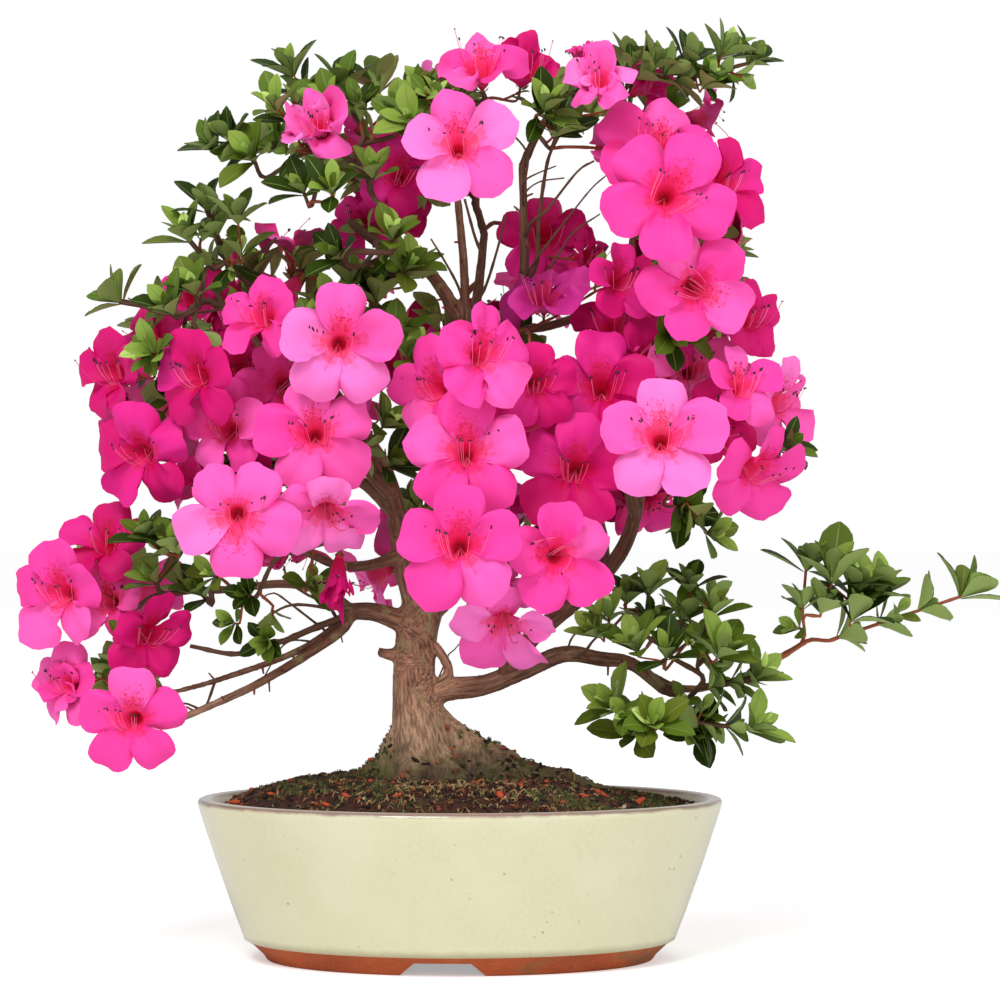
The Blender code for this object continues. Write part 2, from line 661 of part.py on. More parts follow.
def make_limb(name):
    """A bough, cut clear of its parent and of the limbs that leave beside it."""
    limb = mesh_object(name, limb_tube(name), BARK)
    cutters = workshop("clear_of")
    parent = LIMBS[name][0]
    if parent == "trunk":
        make_trunk(CLEAR, cutters)
        make_stubs(cutters, CLEAR / math.cos(math.pi / STUB_SIDES))
    else:
        mesh_object("parent", limb_tube(parent, CLEAR), BARK, cutters)
    apply_boolean(limb, "DIFFERENCE", cutters)
    for other in EARLIER_AT_FORK.get(name, ()):
        cutters = workshop("clear_of")
        mesh_object("neighbour", limb_tube(other, CLEAR), BARK, cutters)
        apply_boolean(limb, "DIFFERENCE", cutters)
    keep_largest(limb)
    return limb


def lean(turn, tilt):
    """The way a bloom faces: turn 0 looks at the front, turn 90 to the right, tilt 90 up."""
    turn, tilt = math.radians(turn), math.radians(tilt)
    return Vector((math.sin(turn) * math.cos(tilt), -math.cos(turn) * math.cos(tilt), math.sin(tilt)))


def zip_rings(bm, low, high):
    """Faces between two rings of different counts, each a list of (angle, vertex) in turn order."""
    low, high = sorted(low, key=lambda p: p[0]), sorted(high, key=lambda p: p[0])
    i = k = 0
    while i < len(low) or k < len(high):
        next_low = low[(i + 1) % len(low)][0] + (2 * math.pi if i + 1 >= len(low) else 0)
        next_high = high[(k + 1) % len(high)][0] + (2 * math.pi if k + 1 >= len(high) else 0)
        a, c = low[i % len(low)][1], high[k % len(high)][1]
        if k >= len(high) or (i < len(low) and next_low <= next_high):
            bm.faces.new((a, low[(i + 1) % len(low)][1], c))
            i += 1
        else:
            bm.faces.new((a, high[(k + 1) % len(high)][1], c))
            k += 1


class Socket:
    """The middle of one flat side of a three-sided twig, where a growth may leave."""

    def __init__(self, point, normal, axis):
        self.point = point
        self.normal = normal
        self.axis = axis


def sockets_between(low, high, shares):
    """The sockets on the flat sides between two rings, at some shares of the way."""
    low, high = [v.co for _, v in low], [v.co for _, v in high]
    start, end = sum(low, Vector()) / TWIG_SIDES, sum(high, Vector()) / TWIG_SIDES
    axis = (end - start).normalized()
    found = []
    for share in shares:
        for a, b in zip(low, low[1:] + low[:1]):
            normal = (b - a).cross(axis).normalized()
            found.append(Socket(start.lerp(end, share), normal, axis))
    return found


class Shoot:
    """One closed skin that grows ring by ring: a three-sided twig, whorls of leaves that it
    runs through, and a whorl or a bloom at its tip. Each length of twig has plane sides."""

    def __init__(self, start, direction, across, radius):
        self.bm = bmesh.new()
        self.sockets = []
        self.place = start
        self.direction = direction
        self.leaves_along = direction
        self.across, self.other = cross_frame(direction, across)
        self.last = self.circle(start, radius, TWIG_SIDES)
        self.bm.faces.new([v for _, v in reversed(self.last)])

    def steer(self, direction):
        self.direction = direction
        self.across, self.other = cross_frame(direction, self.across)

    def vertex(self, centre, radius, turn, height):
        """A point given by its distance, turn and height over a centre on the shoot's axis."""
        way = self.across * math.cos(turn) + self.other * math.sin(turn)
        return (turn, self.bm.verts.new(centre + way * radius + self.direction * height))

    def circle(self, centre, radius, sides, height=0.0, turn=0.0):
        return [self.vertex(centre, radius, turn + 2 * math.pi * k / sides, height) for k in range(sides)]

    def skin_to(self, new):
        zip_rings(self.bm, self.last, new)
        self.last = new

    def length(self, elbow, end):
        """A straight length of twig with plane sides, which later growths may leave. It starts
        at an elbow, or here."""
        start = elbow or self.place
        self.steer((end - start).normalized())
        if elbow:
            self.skin_to(self.circle(elbow, ELBOW_RADIUS, TWIG_SIDES))
        low = self.last
        self.skin_to(self.circle(end, TWIG_RADIUS, TWIG_SIDES))
        if (end - start).length > SOCKET_SPACING:
            self.sockets += sockets_between(low, self.last, TWIG_SOCKETS)
        self.place = end

    def turn_to(self, facing, point):
        """Comes up to a point from behind, where the twig would have to bend sharply."""
        if self.direction.dot(facing) < SHARP_BEND:
            self.steer(facing)
            self.skin_to(self.circle(point, TWIG_RADIUS, TWIG_SIDES))

    def cuts_itself(self):
        tree = BVHTree.FromBMesh(self.bm)
        self.bm.faces.ensure_lookup_table()
        corners = [set(face.verts) for face in self.bm.faces]
        return any(not corners[a] & corners[b] for a, b in tree.overlap(tree))

    def whorl(self, centre, leaves, turn, ends):
        """Leaves that stand out round the twig, which ends in them or runs on."""
        outline = []
        for leaf in range(leaves):
            middle = turn + 2 * math.pi * leaf / leaves
            for off, reach in ((-math.pi / leaves, NOTCH_REACH), *WHORL_OUTLINE):
                distance = LEAF_LENGTH * reach * math.cos(LEAF_RISE)
                height = LEAF_LENGTH * reach * math.sin(LEAF_RISE)
                outline.append(self.vertex(centre, distance, (middle + off) % (2 * math.pi), height))
        self.skin_to(sorted(outline, key=lambda p: p[0]))
        self.place = centre + self.direction * LEAF_HALF_THICKNESS
        if ends:
            self.close(self.place)
        else:
            self.skin_to(self.circle(self.place, TWIG_RADIUS, TWIG_SIDES))

    def bloom(self, foot, width, roll, outline=LIP_OUTLINE):
        """A funnel of five lobes with a hollow throat, whose upper lobe is turned by roll."""
        rim, depth = width / 2, width * BLOOM_DEPTH
        throat = THROAT_REACH * rim
        up = Vector((0, 0, 1)) if abs(self.direction.z) < BLOOM_UPRIGHT else Vector((0, 1, 0))
        upper = math.atan2(self.other.dot(up), self.across.dot(up)) - roll
        step = 2 * math.pi / LOBES
        valley = (upper - step / 2) % step
        self.skin_to(self.circle(foot, throat + BLOOM_SKIN, LOBES, depth * TUBE_TOP, valley))
        lip = []
        for lobe in range(LOBES):
            for off, reach, height in outline:
                turn = (upper + step * lobe + math.radians(off)) % (2 * math.pi)
                lip.append(self.vertex(foot, rim * reach, turn, depth * height))
        self.skin_to(sorted(lip, key=lambda p: p[0]))
        self.skin_to(self.circle(foot, throat, LOBES, depth * THROAT_TOP, valley))
        self.close(foot + self.direction * depth * THROAT_FLOOR)

    def close(self, point):
        tip = self.bm.verts.new(point)
        ring_now = [v for _, v in self.last]
        for a, b in zip(ring_now, ring_now[1:] + ring_now[:1]):
            self.bm.faces.new((a, b, tip))


class Crown:
    """What is placed so far. A growth that would touch another node is refused, and so is one
    that would cut through its own mass anywhere but at its root."""

    def __init__(self):
        self.kept = []

    def add(self, owner, bm):
        points = np.array([v.co for v in bm.verts])
        self.kept.append((owner, points.min(0) - CLEAR, points.max(0) + CLEAR, BVHTree.FromBMesh(bm)))

    def add_object(self, obj):
        bm = bmesh.new()
        bm.from_mesh(obj.data)
        self.add(obj.name, bm)
        bm.free()

    def touched(self, owner, shoot):
        """Names of the nodes that a growth cuts. Its own mass counts past the root."""
        shoot.bm.verts.index_update()
        points = [v.co.copy() for v in shoot.bm.verts]
        corners = [[v.index for v in face.verts] for face in shoot.bm.faces]
        whole = BVHTree.FromPolygons(points, corners)
        for i in range(TWIG_SIDES):
            points[i] += shoot.leaves_along * ROOT_LENGTH
        past_root = BVHTree.FromPolygons(points, corners)
        low, high = np.array(points).min(0), np.array(points).max(0)
        found = set()
        for name, other_low, other_high, other in self.kept:
            if (low > other_high).any() or (high < other_low).any() or name in found:
                continue
            if (past_root if name == owner else whole).overlap(other):
                found.add(name)
        return found


def hidden_fill(name, fill):
    """Blooms and whorls for the sides that the front view hides: spread evenly over the
    outer half of the mass's space by the golden angle, with a seeded jog."""
    middle, half, blooms, whorls = fill
    middle, half = Vector(middle) * MM, Vector(half) * MM
    dice = random.Random(f"{name}{SEED}")
    outward = (middle - CROWN_MIDDLE).normalized()
    outward = (outward + FILL_BEARING).normalized()
    total = blooms + whorls
    up, side = cross_frame(outward)
    for k in range(total):
        cosine = 1 - FILL_SPAN * (k + 0.5) / total
        sine = math.sqrt(max(0.0, 1 - cosine**2))
        turn = k * GOLDEN_TURN + dice.uniform(-GOLDEN_JOG, GOLDEN_JOG)
        way = outward * cosine + (up * math.cos(turn) + side * math.sin(turn)) * sine
        reach = dice.uniform(*FILL_REACH)
        point = middle + Vector(w * h * reach for w, h in zip(way, half))
        is_bloom = (k * blooms) // total != ((k + 1) * blooms) // total
        yield is_bloom, point, way, dice.uniform(0, 2 * math.pi)


class Growth:
    """One growth to place: the points where its whorls sit, the way its tip faces, the line it
    may be moved along, where it leaves if that is given, and its bloom's width and roll."""

    def __init__(self, points, facing, along, leaves=None, bloom=None, hidden=False):
        self.points = points
        self.facing = facing
        self.along = along
        self.leaves = leaves
        self.bloom = bloom
        self.hidden = hidden


def growths(name):
    """Every growth of a mass, from its rows and its fill."""
    blooms, shoots, fill = MASSES[name][1:]
    found = []
    for across, up, depth, width, turn, tilt, roll in blooms:
        facing = lean(turn, tilt)
        foot = seen(across, up, depth) - facing * width * MM * BLOOM_DEPTH * BLOOM_MIDDLE
        found.append(Growth([foot], facing, sight(foot), bloom=(width * MM, math.radians(roll))))
    for across, up, tip_across, tip_up, depth, whorls in shoots:
        leaves, tip = seen(across, up, depth * SHOOT_FOOT_DEPTH), seen(tip_across, tip_up, depth)
        facing = ((tip - leaves).normalized() + SHOOT_LIFT).normalized()
        tip -= facing * LEAF_LENGTH * WHORL_LIFT
        points = [leaves.lerp(tip, k / whorls) for k in range(1, whorls + 1)]
        found.append(Growth(points, facing, sight(tip), leaves=leaves))
    for is_bloom, point, way, roll in hidden_fill(name, fill) if fill else ():
        facing = (way + HIDDEN_LIFT).normalized()
        if is_bloom:
            foot = point - facing * HIDDEN_BLOOM_WIDTH * BLOOM_DEPTH
            bloom = (HIDDEN_BLOOM_WIDTH, roll, PLAIN_LIP_OUTLINE)
            found.append(Growth([foot], facing, way, bloom=bloom, hidden=True))
        else:
            found.append(Growth([point - facing * LEAF_LENGTH * WHORL_LIFT], facing, way, hidden=True))
    return found


def sight(point):
    return (STANDPOINT - point).normalized()


def grow_shoot(socket, growth, nudge, turn):
    """The skin of one growth. It leaves its parent's side straight, or square with an elbow."""
    points = [point + growth.along * nudge for point in growth.points]
    way = (points[0] - socket.point).normalized()
    straight = way.dot(socket.normal) > STRAIGHT
    shoot = Shoot(socket.point, way if straight else socket.normal, socket.axis, ROOT_RADIUS)
    elbow = None if straight else socket.point + socket.normal * ROOT_LENGTH
    for k, point in enumerate(points):
        is_tip = k == len(points) - 1
        onward = growth.facing if is_tip else (points[k + 1] - point).normalized()
        way = (point - (elbow or shoot.place)).normalized()
        below = point - onward * LEAF_HALF_THICKNESS
        shoot.length(elbow, below - onward * APPROACH if way.dot(onward) < SHARP_BEND else below)
        shoot.turn_to(onward, below)
        shoot.steer(onward)
        if growth.bloom and is_tip:
            shoot.bloom(point, *growth.bloom)
        else:
            leaves = TIP_LEAVES if is_tip and not growth.hidden else SIDE_LEAVES
            shoot.whorl(point, leaves, turn + k, is_tip)
        elbow = None
    return shoot


def best_sockets(sockets, growth, nudge):
    """Where a growth may leave: near sockets that look its way and don't lie ahead of it."""
    point = growth.points[0] + growth.along * nudge
    near = growth.leaves or point

    def cost(socket):
        way = point - socket.point
        ahead = max(0.0, -way.normalized().dot(growth.facing))
        aside = 1 - way.normalized().dot(socket.normal)
        distance = (socket.point - near).length + ahead * AHEAD_COST + aside * ASIDE_COST
        return way.length < SHORTEST, distance

    return sorted(sockets, key=cost)[:SOCKET_TRIES]


def placed(growth, name, sockets, crown, turn):
    """The growth and its socket at the first nudge where it touches nothing. One of the shoots
    and blooms that the front shows may cross its own mass, which it is joined to."""
    fallback = None
    for nudge in NUDGES:
        for socket in best_sockets(sockets, growth, nudge * MM):
            shoot = grow_shoot(socket, growth, nudge * MM, turn)
            if shoot.cuts_itself():
                continue
            touched = crown.touched(name, shoot)
            if not touched:
                return shoot, socket
            if touched == {name} and not growth.hidden and not fallback:
                fallback = shoot, socket
    return fallback


def make_mass(name, crown):
    """One mass: a stem from its limb's tip, and growths that branch from it, in one solid."""
    course = limb_course(MASSES[name][0])
    heading = (course[-1] - course[-2]).normalized()
    foot = course[-1] + heading * CLEAR
    found = sorted(growths(name), key=lambda g: (g.points[0] - foot).length)
    middle = sum((g.points[0] for g in found), Vector()) / len(found)
    stem = Shoot(foot, heading, None, STEM_RADIUS)
    low = stem.last
    towards = middle - foot
    way = (towards.normalized() + heading).normalized()
    hub = foot + way * max(STEM_LEAST, towards.length * HUB_SHARE)
    stem.skin_to(stem.circle(hub, STEM_TIP_RADIUS, TWIG_SIDES))
    stem.bm.faces.new([v for _, v in stem.last])
    sockets = sockets_between(low, stem.last, STEM_SOCKETS)
    crown.add(name, stem.bm)
    mass = mesh_object(name, stem.bm, BARK)
    parts = workshop("parts_of_" + name)
    dice = random.Random(f"twigs{name}{SEED}")
    for growth in found:
        kept = placed(growth, name, sockets, crown, dice.uniform(0, WHORL_TURN))
        if not kept:
            continue
        shoot, socket = kept
        crown.add(name, shoot.bm)
        sockets.remove(socket)
        sockets += shoot.sockets
        mesh_object("growth", shoot.bm, PETAL if growth.bloom else LEAF, parts)
    apply_boolean(mass, "UNION", parts)
    keep_largest(mass)
    return mass


def main():
    clear_scene()
    crown = Crown()
    trunk = make_trunk()
    stubs = workshop("stubs")
    make_stubs(stubs)
    apply_boolean(trunk, "UNION", stubs)
    keep_largest(trunk)
    solids = [make_pot(), make_soil(), trunk]
    solids += [make_limb(name) for name in LIMBS]
    for solid in solids:
        crown.add_object(solid)
    for name in MASSES:
        solids.append(make_mass(name, crown))
    corners = np.array([v.co for solid in solids for v in solid.data.vertices])
    low, high = corners.min(0), corners.max(0)
    shift = Vector((-(low[0] + high[0]) / 2, -(low[1] + high[1]) / 2, 0))
    for solid in solids:
        solid.data.transform(Matrix.Translation(shift))


main()
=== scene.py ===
# %% [markdown]
# # An azalea bonsai in full flower
# The real object is a small evergreen azalea that was trained for years in an oval pot of pale
# green glaze. It is about 47 cm high and 49 cm across. The solids of its pot, soil, trunk, boughs
# and masses of foliage are already made and packed, so this file starts from them as a fixed
# frame and dresses each of them. Every length below is in millimetres times MM.

import json
import math
import random

import bmesh
import bpy
import numpy as np
from mathutils import Matrix, Vector, noise
from mathutils.bvhtree import BVHTree
from mathutils.kdtree import KDTree

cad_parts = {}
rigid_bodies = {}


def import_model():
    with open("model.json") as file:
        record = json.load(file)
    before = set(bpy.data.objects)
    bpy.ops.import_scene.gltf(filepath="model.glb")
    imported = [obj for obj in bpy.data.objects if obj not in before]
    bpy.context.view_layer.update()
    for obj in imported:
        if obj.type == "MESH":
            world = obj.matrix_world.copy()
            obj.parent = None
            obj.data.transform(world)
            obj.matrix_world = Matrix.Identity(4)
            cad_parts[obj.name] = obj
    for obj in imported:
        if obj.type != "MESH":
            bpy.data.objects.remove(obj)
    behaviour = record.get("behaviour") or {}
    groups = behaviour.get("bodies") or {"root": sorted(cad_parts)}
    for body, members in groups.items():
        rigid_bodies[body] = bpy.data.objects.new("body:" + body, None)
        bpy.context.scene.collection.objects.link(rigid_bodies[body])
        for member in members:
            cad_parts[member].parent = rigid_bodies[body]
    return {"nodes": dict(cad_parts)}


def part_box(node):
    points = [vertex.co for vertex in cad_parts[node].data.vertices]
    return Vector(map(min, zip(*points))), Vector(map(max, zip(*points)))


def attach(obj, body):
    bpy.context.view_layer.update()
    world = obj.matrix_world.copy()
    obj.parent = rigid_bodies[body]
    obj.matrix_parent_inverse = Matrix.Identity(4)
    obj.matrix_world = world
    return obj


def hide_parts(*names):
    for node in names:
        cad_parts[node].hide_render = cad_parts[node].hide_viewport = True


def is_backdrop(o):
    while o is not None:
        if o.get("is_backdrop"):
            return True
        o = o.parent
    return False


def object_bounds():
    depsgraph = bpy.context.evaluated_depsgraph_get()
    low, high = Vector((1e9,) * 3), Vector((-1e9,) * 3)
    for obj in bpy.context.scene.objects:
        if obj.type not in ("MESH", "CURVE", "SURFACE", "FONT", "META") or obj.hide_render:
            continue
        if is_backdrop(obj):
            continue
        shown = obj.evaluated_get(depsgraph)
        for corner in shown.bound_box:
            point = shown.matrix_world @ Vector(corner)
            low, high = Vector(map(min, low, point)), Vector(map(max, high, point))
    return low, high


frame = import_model()
CAD_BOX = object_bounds()
MM = 0.001  # a millimetre in metres
print("nodes in the frame:", len(frame["nodes"]))

# %% [markdown]
# The solids were drawn round the middle of the pot and then moved so that the middle of the whole
# plant's box lies over the origin. Everything here is drawn round the pot's middle too, and each
# finished mesh is moved by the same step. That keeps the numbers easy to read.

# %% Where the pot's middle lies, and the photograph's standing point
pot_low, pot_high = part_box("pot")
SHIFT = Vector(((pot_low.x + pot_high.x) / 2, (pot_low.y + pot_high.y) / 2, 0))
STANDPOINT = Vector((20, -1760, 229)) * MM  # from the pot's middle, on the table
LENS = 126.72  # millimetres, at which 2 pixels show 1 mm at the pot's middle
print("the pot's middle is at", [round(c / MM, 1) for c in SHIFT], "mm")


def put_in(name, data):
    made = bpy.data.objects.new(name, data)
    bpy.context.scene.collection.objects.link(made)
    return made


camera_data = bpy.data.cameras.new("camera")
camera_data.lens = LENS
camera = put_in("camera", camera_data)
camera.location = STANDPOINT + SHIFT
camera.rotation_euler = (math.radians(90), 0, 0)
bpy.context.scene.camera = camera

# %% [markdown]
# The plant was photographed in soft, even light on white. A pale world gives the even part, one
# large lamp above the left shoulder gives the petals their form, and a weaker one lifts the shade.
# The camera sees the world and the paper as pure white, while what they shed on the plant is
# weaker, as when a backdrop is lit on its own. The plain colour transform keeps the magenta clean.

# %% Light and backdrop
SKY_LIGHT = 0.62  # what the world sheds on the plant, as a share of the white that the camera sees
LAMPS_LOOK_AT = Vector((0, 0, 0.25))
# Lamps: place and size in metres, power in watts
LAMPS = {"key": ((-0.6, -1.8, 1.9), 0.9, 34), "fill": ((1.5, -1.4, 0.9), 1.2, 9)}


def hang_lamp(name, place, size, power):
    data = bpy.data.lights.new(name, "AREA")
    data.size = size
    data.energy = power
    made = put_in(name, data)
    made.location = place
    made.rotation_euler = (LAMPS_LOOK_AT - made.location).to_track_quat("-Z", "Y").to_euler()


def light_the_studio():
    world = bpy.data.worlds.new("studio")
    world.use_nodes = True
    sky = world.node_tree.nodes["Background"]
    sky.inputs["Color"].default_value = (1, 1, 1, 1)
    path = world.node_tree.nodes.new("ShaderNodeLightPath")
    strength = world.node_tree.nodes.new("ShaderNodeMapRange")
    strength.inputs["To Min"].default_value = SKY_LIGHT
    world.node_tree.links.new(path.outputs["Is Camera Ray"], strength.inputs["Value"])
    world.node_tree.links.new(strength.outputs[0], sky.inputs["Strength"])
    bpy.context.scene.world = world
    for name, (place, size, power) in LAMPS.items():
        hang_lamp(name, place, size, power)
    bpy.context.scene.view_settings.view_transform = "Standard"


light_the_studio()
print("lamps:", list(LAMPS))

# %% [markdown]
# The floor is one large disc of white paper. It belongs to the studio and not to the plant, so it
# is staged and stays out of the finished model.

# %% The floor
FLOOR_RADIUS = 14  # metres, far past the frame
PAPER_WHITE = (0.96, 0.96, 0.96, 1)


def mesh_from(bm):
    mesh = bpy.data.meshes.new("made")
    bm.to_mesh(mesh)
    bm.free()
    return mesh


def lay_the_floor():
    bm = bmesh.new()
    bmesh.ops.create_circle(bm, cap_ends=True, segments=96, radius=FLOOR_RADIUS)
    mesh = mesh_from(bm)
    finish = bpy.data.materials.new("white_paper")
    finish.use_nodes = True
    shader = finish.node_tree.nodes["Principled BSDF"]
    shader.inputs["Base Color"].default_value = PAPER_WHITE
    shader.inputs["Roughness"].default_value = 1.0
    shader.inputs["Emission Strength"].default_value = 1 - SKY_LIGHT
    path = finish.node_tree.nodes.new("ShaderNodeLightPath")
    finish.node_tree.links.new(path.outputs["Is Camera Ray"], shader.inputs["Emission Color"])
    mesh.materials.append(finish)
    put_in("floor", mesh)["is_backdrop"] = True


lay_the_floor()
print("the floor is", 2 * FLOOR_RADIUS, "m across")

# %% [markdown]
# Two kinds of finish are needed. Petals, leaves and twigs are thousands of small sheets, so each
# gets one of a few plain colours. The pot, the soil and the bark are large skins whose pattern
# comes from shader nodes. A small class wraps a node's output, so shader maths reads like sums.

# %% Plain colours and shader maths
def linear(red, green, blue):
    """A colour given in a screen's values, as the light that the shader wants."""
    shares = [c / 255 for c in (red, green, blue)]
    return (*[s / 12.92 if s <= 0.04045 else ((s + 0.055) / 1.055) ** 2.4 for s in shares], 1)


class Value:
    """The output of a shader node. A sum or product with it adds the Math node for it."""

    def __init__(self, finish, socket):
        self.finish = finish
        self.socket = socket

    def math(self, operation, *values):
        return self.finish.node("ShaderNodeMath", {"operation": operation}, dict(enumerate(values)))

    def __add__(self, other):
        return self.math("ADD", self, other)

    def __sub__(self, other):
        return self.math("SUBTRACT", self, other)

    def __rsub__(self, other):
        return self.math("SUBTRACT", other, self)

    def __mul__(self, other):
        return self.math("MULTIPLY", self, other)

    __radd__ = __add__
    __rmul__ = __mul__

    def between(self, low, high):
        """0 below low, 1 above high, and an even rise from one to the other."""
        sockets = {"Value": self, "From Min": low, "From Max": high}
        return self.finish.node("ShaderNodeMapRange", {"clamp": True}, sockets)


class Finish:
    """A material whose shader is fed by values and by nodes."""

    def __init__(self, name, **constants):
        self.material = bpy.data.materials.new(name)
        self.material.use_nodes = True
        self.tree = self.material.node_tree
        self.shader = self.tree.nodes["Principled BSDF"]
        for socket, value in constants.items():
            self.set(socket.replace("_", " ").title().replace("Ior", "IOR"), value)

    def set(self, socket, value):
        self.feed(self.shader.inputs[socket], value)

    def feed(self, socket, value):
        if isinstance(value, Value):
            self.tree.links.new(value.socket, socket)
        else:
            socket.default_value = value

    def node(self, kind, settings=None, sockets=None, output=0):
        """Any node: first its settings, then the values or links of its sockets."""
        made = self.tree.nodes.new(kind)
        for name, value in (settings or {}).items():
            setattr(made, name, value)
        for name, value in (sockets or {}).items():
            self.feed(made.inputs[name], value)
        return Value(self, made.outputs[output])

    def place(self, stretch=(1, 1, 1)):
        """The point's own place on the object, in metres, stretched along the axes."""
        point = self.node("ShaderNodeTexCoord", output=3)
        return self.node("ShaderNodeMapping", {}, {"Vector": point, "Scale": stretch})

    def along(self, vector, axis):
        """One part of a place: axis 0 is x, 1 is y and 2 is z."""
        return self.node("ShaderNodeSeparateXYZ", {}, {0: vector}, output=axis)

    def noise(self, vector, scale, detail=3.0, roughness=0.55):
        sockets = {"Vector": vector, "Scale": scale, "Detail": detail, "Roughness": roughness}
        return self.node("ShaderNodeTexNoise", {}, sockets)

    def cells(self, vector, scale, feature="F1"):
        sockets = {"Vector": vector, "Scale": scale}
        return self.node("ShaderNodeTexVoronoi", {"feature": feature}, sockets)

    def blend(self, share, first, second):
        """The first colour where share is 0, the second where it is 1."""
        sockets = {0: share, 6: first, 7: second}
        return self.node("ShaderNodeMix", {"data_type": "RGBA"}, sockets, output=2)

    def over(self, share, red, green, blue):
        """A layer of another colour, as thick as share, over what is there."""
        self.body = self.blend(share, self.body, linear(red, green, blue))

    def bump(self, height, distance, strength=1.0):
        sockets = {"Height": height, "Distance": distance, "Strength": strength}
        self.set("Normal", self.node("ShaderNodeBump", {}, sockets))


def plain(name, colour, roughness, **constants):
    return Finish(name, base_color=linear(*colour), roughness=roughness, **constants).material


print("a middle grey on a screen is", round(linear(128, 128, 128)[0], 3), "of full light")

# %% [markdown]
# Two ways to build a skin come back throughout. The first is a flat grid from one operator, whose
# points are then moved onto the real surface. The second is a curve with a round profile, for
# anything that is long and thin.

# %% Grids, small forms and tubes
EAST, NORTH, SKY = Vector((1, 0, 0)), Vector((0, 1, 0)), Vector((0, 0, 1))


def small_form(bm):
    """A bmesh as an array of places and a list of faces."""
    points = np.array([v.co for v in bm.verts])
    faces = [[corner.index for corner in face.verts] for face in bm.faces]
    bm.free()
    return points, faces


def flat_grid(across, along):
    """A grid's places, from -1 to 1 across and from 0 to 1 along, and its faces."""
    bm = bmesh.new()
    bmesh.ops.create_grid(bm, x_segments=across, y_segments=along, size=1)
    points, faces = small_form(bm)
    return points[:, 0], (points[:, 1] + 1) / 2, faces


def ball(cuts=1, size=(1, 1, 1)):
    bm = bmesh.new()
    bmesh.ops.create_icosphere(bm, subdivisions=cuts, radius=1)
    bmesh.ops.scale(bm, verts=bm.verts, vec=size)
    return small_form(bm)


def tubes(courses, rounding=0):
    """A mesh of round tubes. Each course is its points, its radii and its material slot."""
    data = bpy.data.curves.new("tubes", "CURVE")
    data.dimensions = "3D"
    data.bevel_depth = 1.0
    data.bevel_resolution = rounding
    data.use_fill_caps = True
    last_slot = max(slot for _, _, slot in courses)
    for _ in range(last_slot + 1 if last_slot else 0):
        data.materials.append(None)  # without its empty slots the mesh would lose the numbers
    for points, radii, slot in courses:
        spline = data.splines.new("POLY")
        spline.points.add(len(points) - 1)
        spline.points.foreach_set("co", [c for p in points for c in (*p, 1.0)])
        spline.points.foreach_set("radius", radii)
        spline.material_index = slot
        spline.use_smooth = True
    mesh = mesh_of(put_in("tubes", data))
    bpy.data.curves.remove(data)
    return mesh


def mesh_of(holder):
    """The mesh of an object with its modifiers and bevels made real. The object goes."""
    graph = bpy.context.evaluated_depsgraph_get()
    mesh = bpy.data.meshes.new_from_object(holder.evaluated_get(graph))
    bpy.data.objects.remove(holder)
    return mesh


def even(count):
    """Even shares from 0 to 1."""
    return [k / (count - 1) for k in range(count)]


print("three even shares:", even(3))

# %% [markdown]
# A finished mesh becomes a piece: it gets its place and materials, rides on a body of the frame,
# and takes over the solids that it replaces. Small forms that are needed many times are collected
# as arrays and become one joined mesh, which keeps a crown of thousands of leaves light.

# %% Pieces and joined meshes
def piece(name, mesh, finishes, slot, *nodes):
    mesh.name = name
    mesh.transform(Matrix.Translation(SHIFT))
    for k, finish in enumerate(finishes):
        if k < len(mesh.materials):
            mesh.materials[k] = finish
        else:
            mesh.materials.append(finish)
    made = put_in(name, mesh)
    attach(made, "root")
    if nodes:
        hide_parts(*nodes)
    triangles = sum(len(face.vertices) - 2 for face in mesh.polygons)
    print(f"{name}: {triangles} triangles")


class Batch:
    """Many small forms that are joined in one mesh, with a material slot for each face."""

    def __init__(self):
        self.points, self.faces, self.slots, self.count = [], [], [], 0

    def add(self, points, faces, slots):
        """Slots is one number for the whole form, or a list with one for each face."""
        self.points.append(points)
        self.faces += [[corner + self.count for corner in face] for face in faces]
        self.slots += [slots] * len(faces) if isinstance(slots, int) else slots
        self.count += len(points)

    def mesh(self):
        made = bpy.data.meshes.new("joined")
        made.from_pydata(np.concatenate(self.points), [], self.faces)
        made.polygons.foreach_set("material_index", self.slots)
        made.shade_smooth()
        return made


def across_of(direction, near):
    """Two unit vectors across a direction. The first is as close as can be to near."""
    first = near - direction * near.dot(direction)
    if first.length < 0.01:
        first = direction.orthogonal()
    first.normalize()
    return first, direction.cross(first)


def set_at(points, place, facing, up, size=1.0):
    """A form moved to a place, with its z turned to facing and its x as near as can be to up."""
    turn = np.array((*across_of(facing, up), facing))
    return points @ turn * size + np.array(place)


def at_turn(first, second, turn):
    """A direction in the plane of two others, turned from the first towards the second."""
    return first * math.cos(turn) + second * math.sin(turn)


def chance_vector(dice, spread):
    return Vector([dice.gauss(0, spread) for _ in range(3)])


def any_turn(dice):
    return dice.uniform(0, 2 * math.pi)


print("across the sky's way lie", [tuple(v) for v in across_of(SKY, EAST)])

# %% [markdown]
# ## The pot
# It is a pressed oval bowl. Its wall leans out to a soft rim, the pale glaze stops a finger's
# breadth above the table, and below it the bare clay runs in to a foot ring with a wide notch
# front and back. A spin of one outline gives a round bowl, and each point is then drawn in along
# the depth. A mesh scale would do that too, but it would thin the wall front and back.

# %% The pot's outline
POT_STEPS = 160
RIM = 80.5 * MM
# Half width less half depth, at the foot, at the glaze's end and at the rim
OVAL = ((0, 28 * MM), (10.5 * MM, 30 * MM), (RIM, 36 * MM))
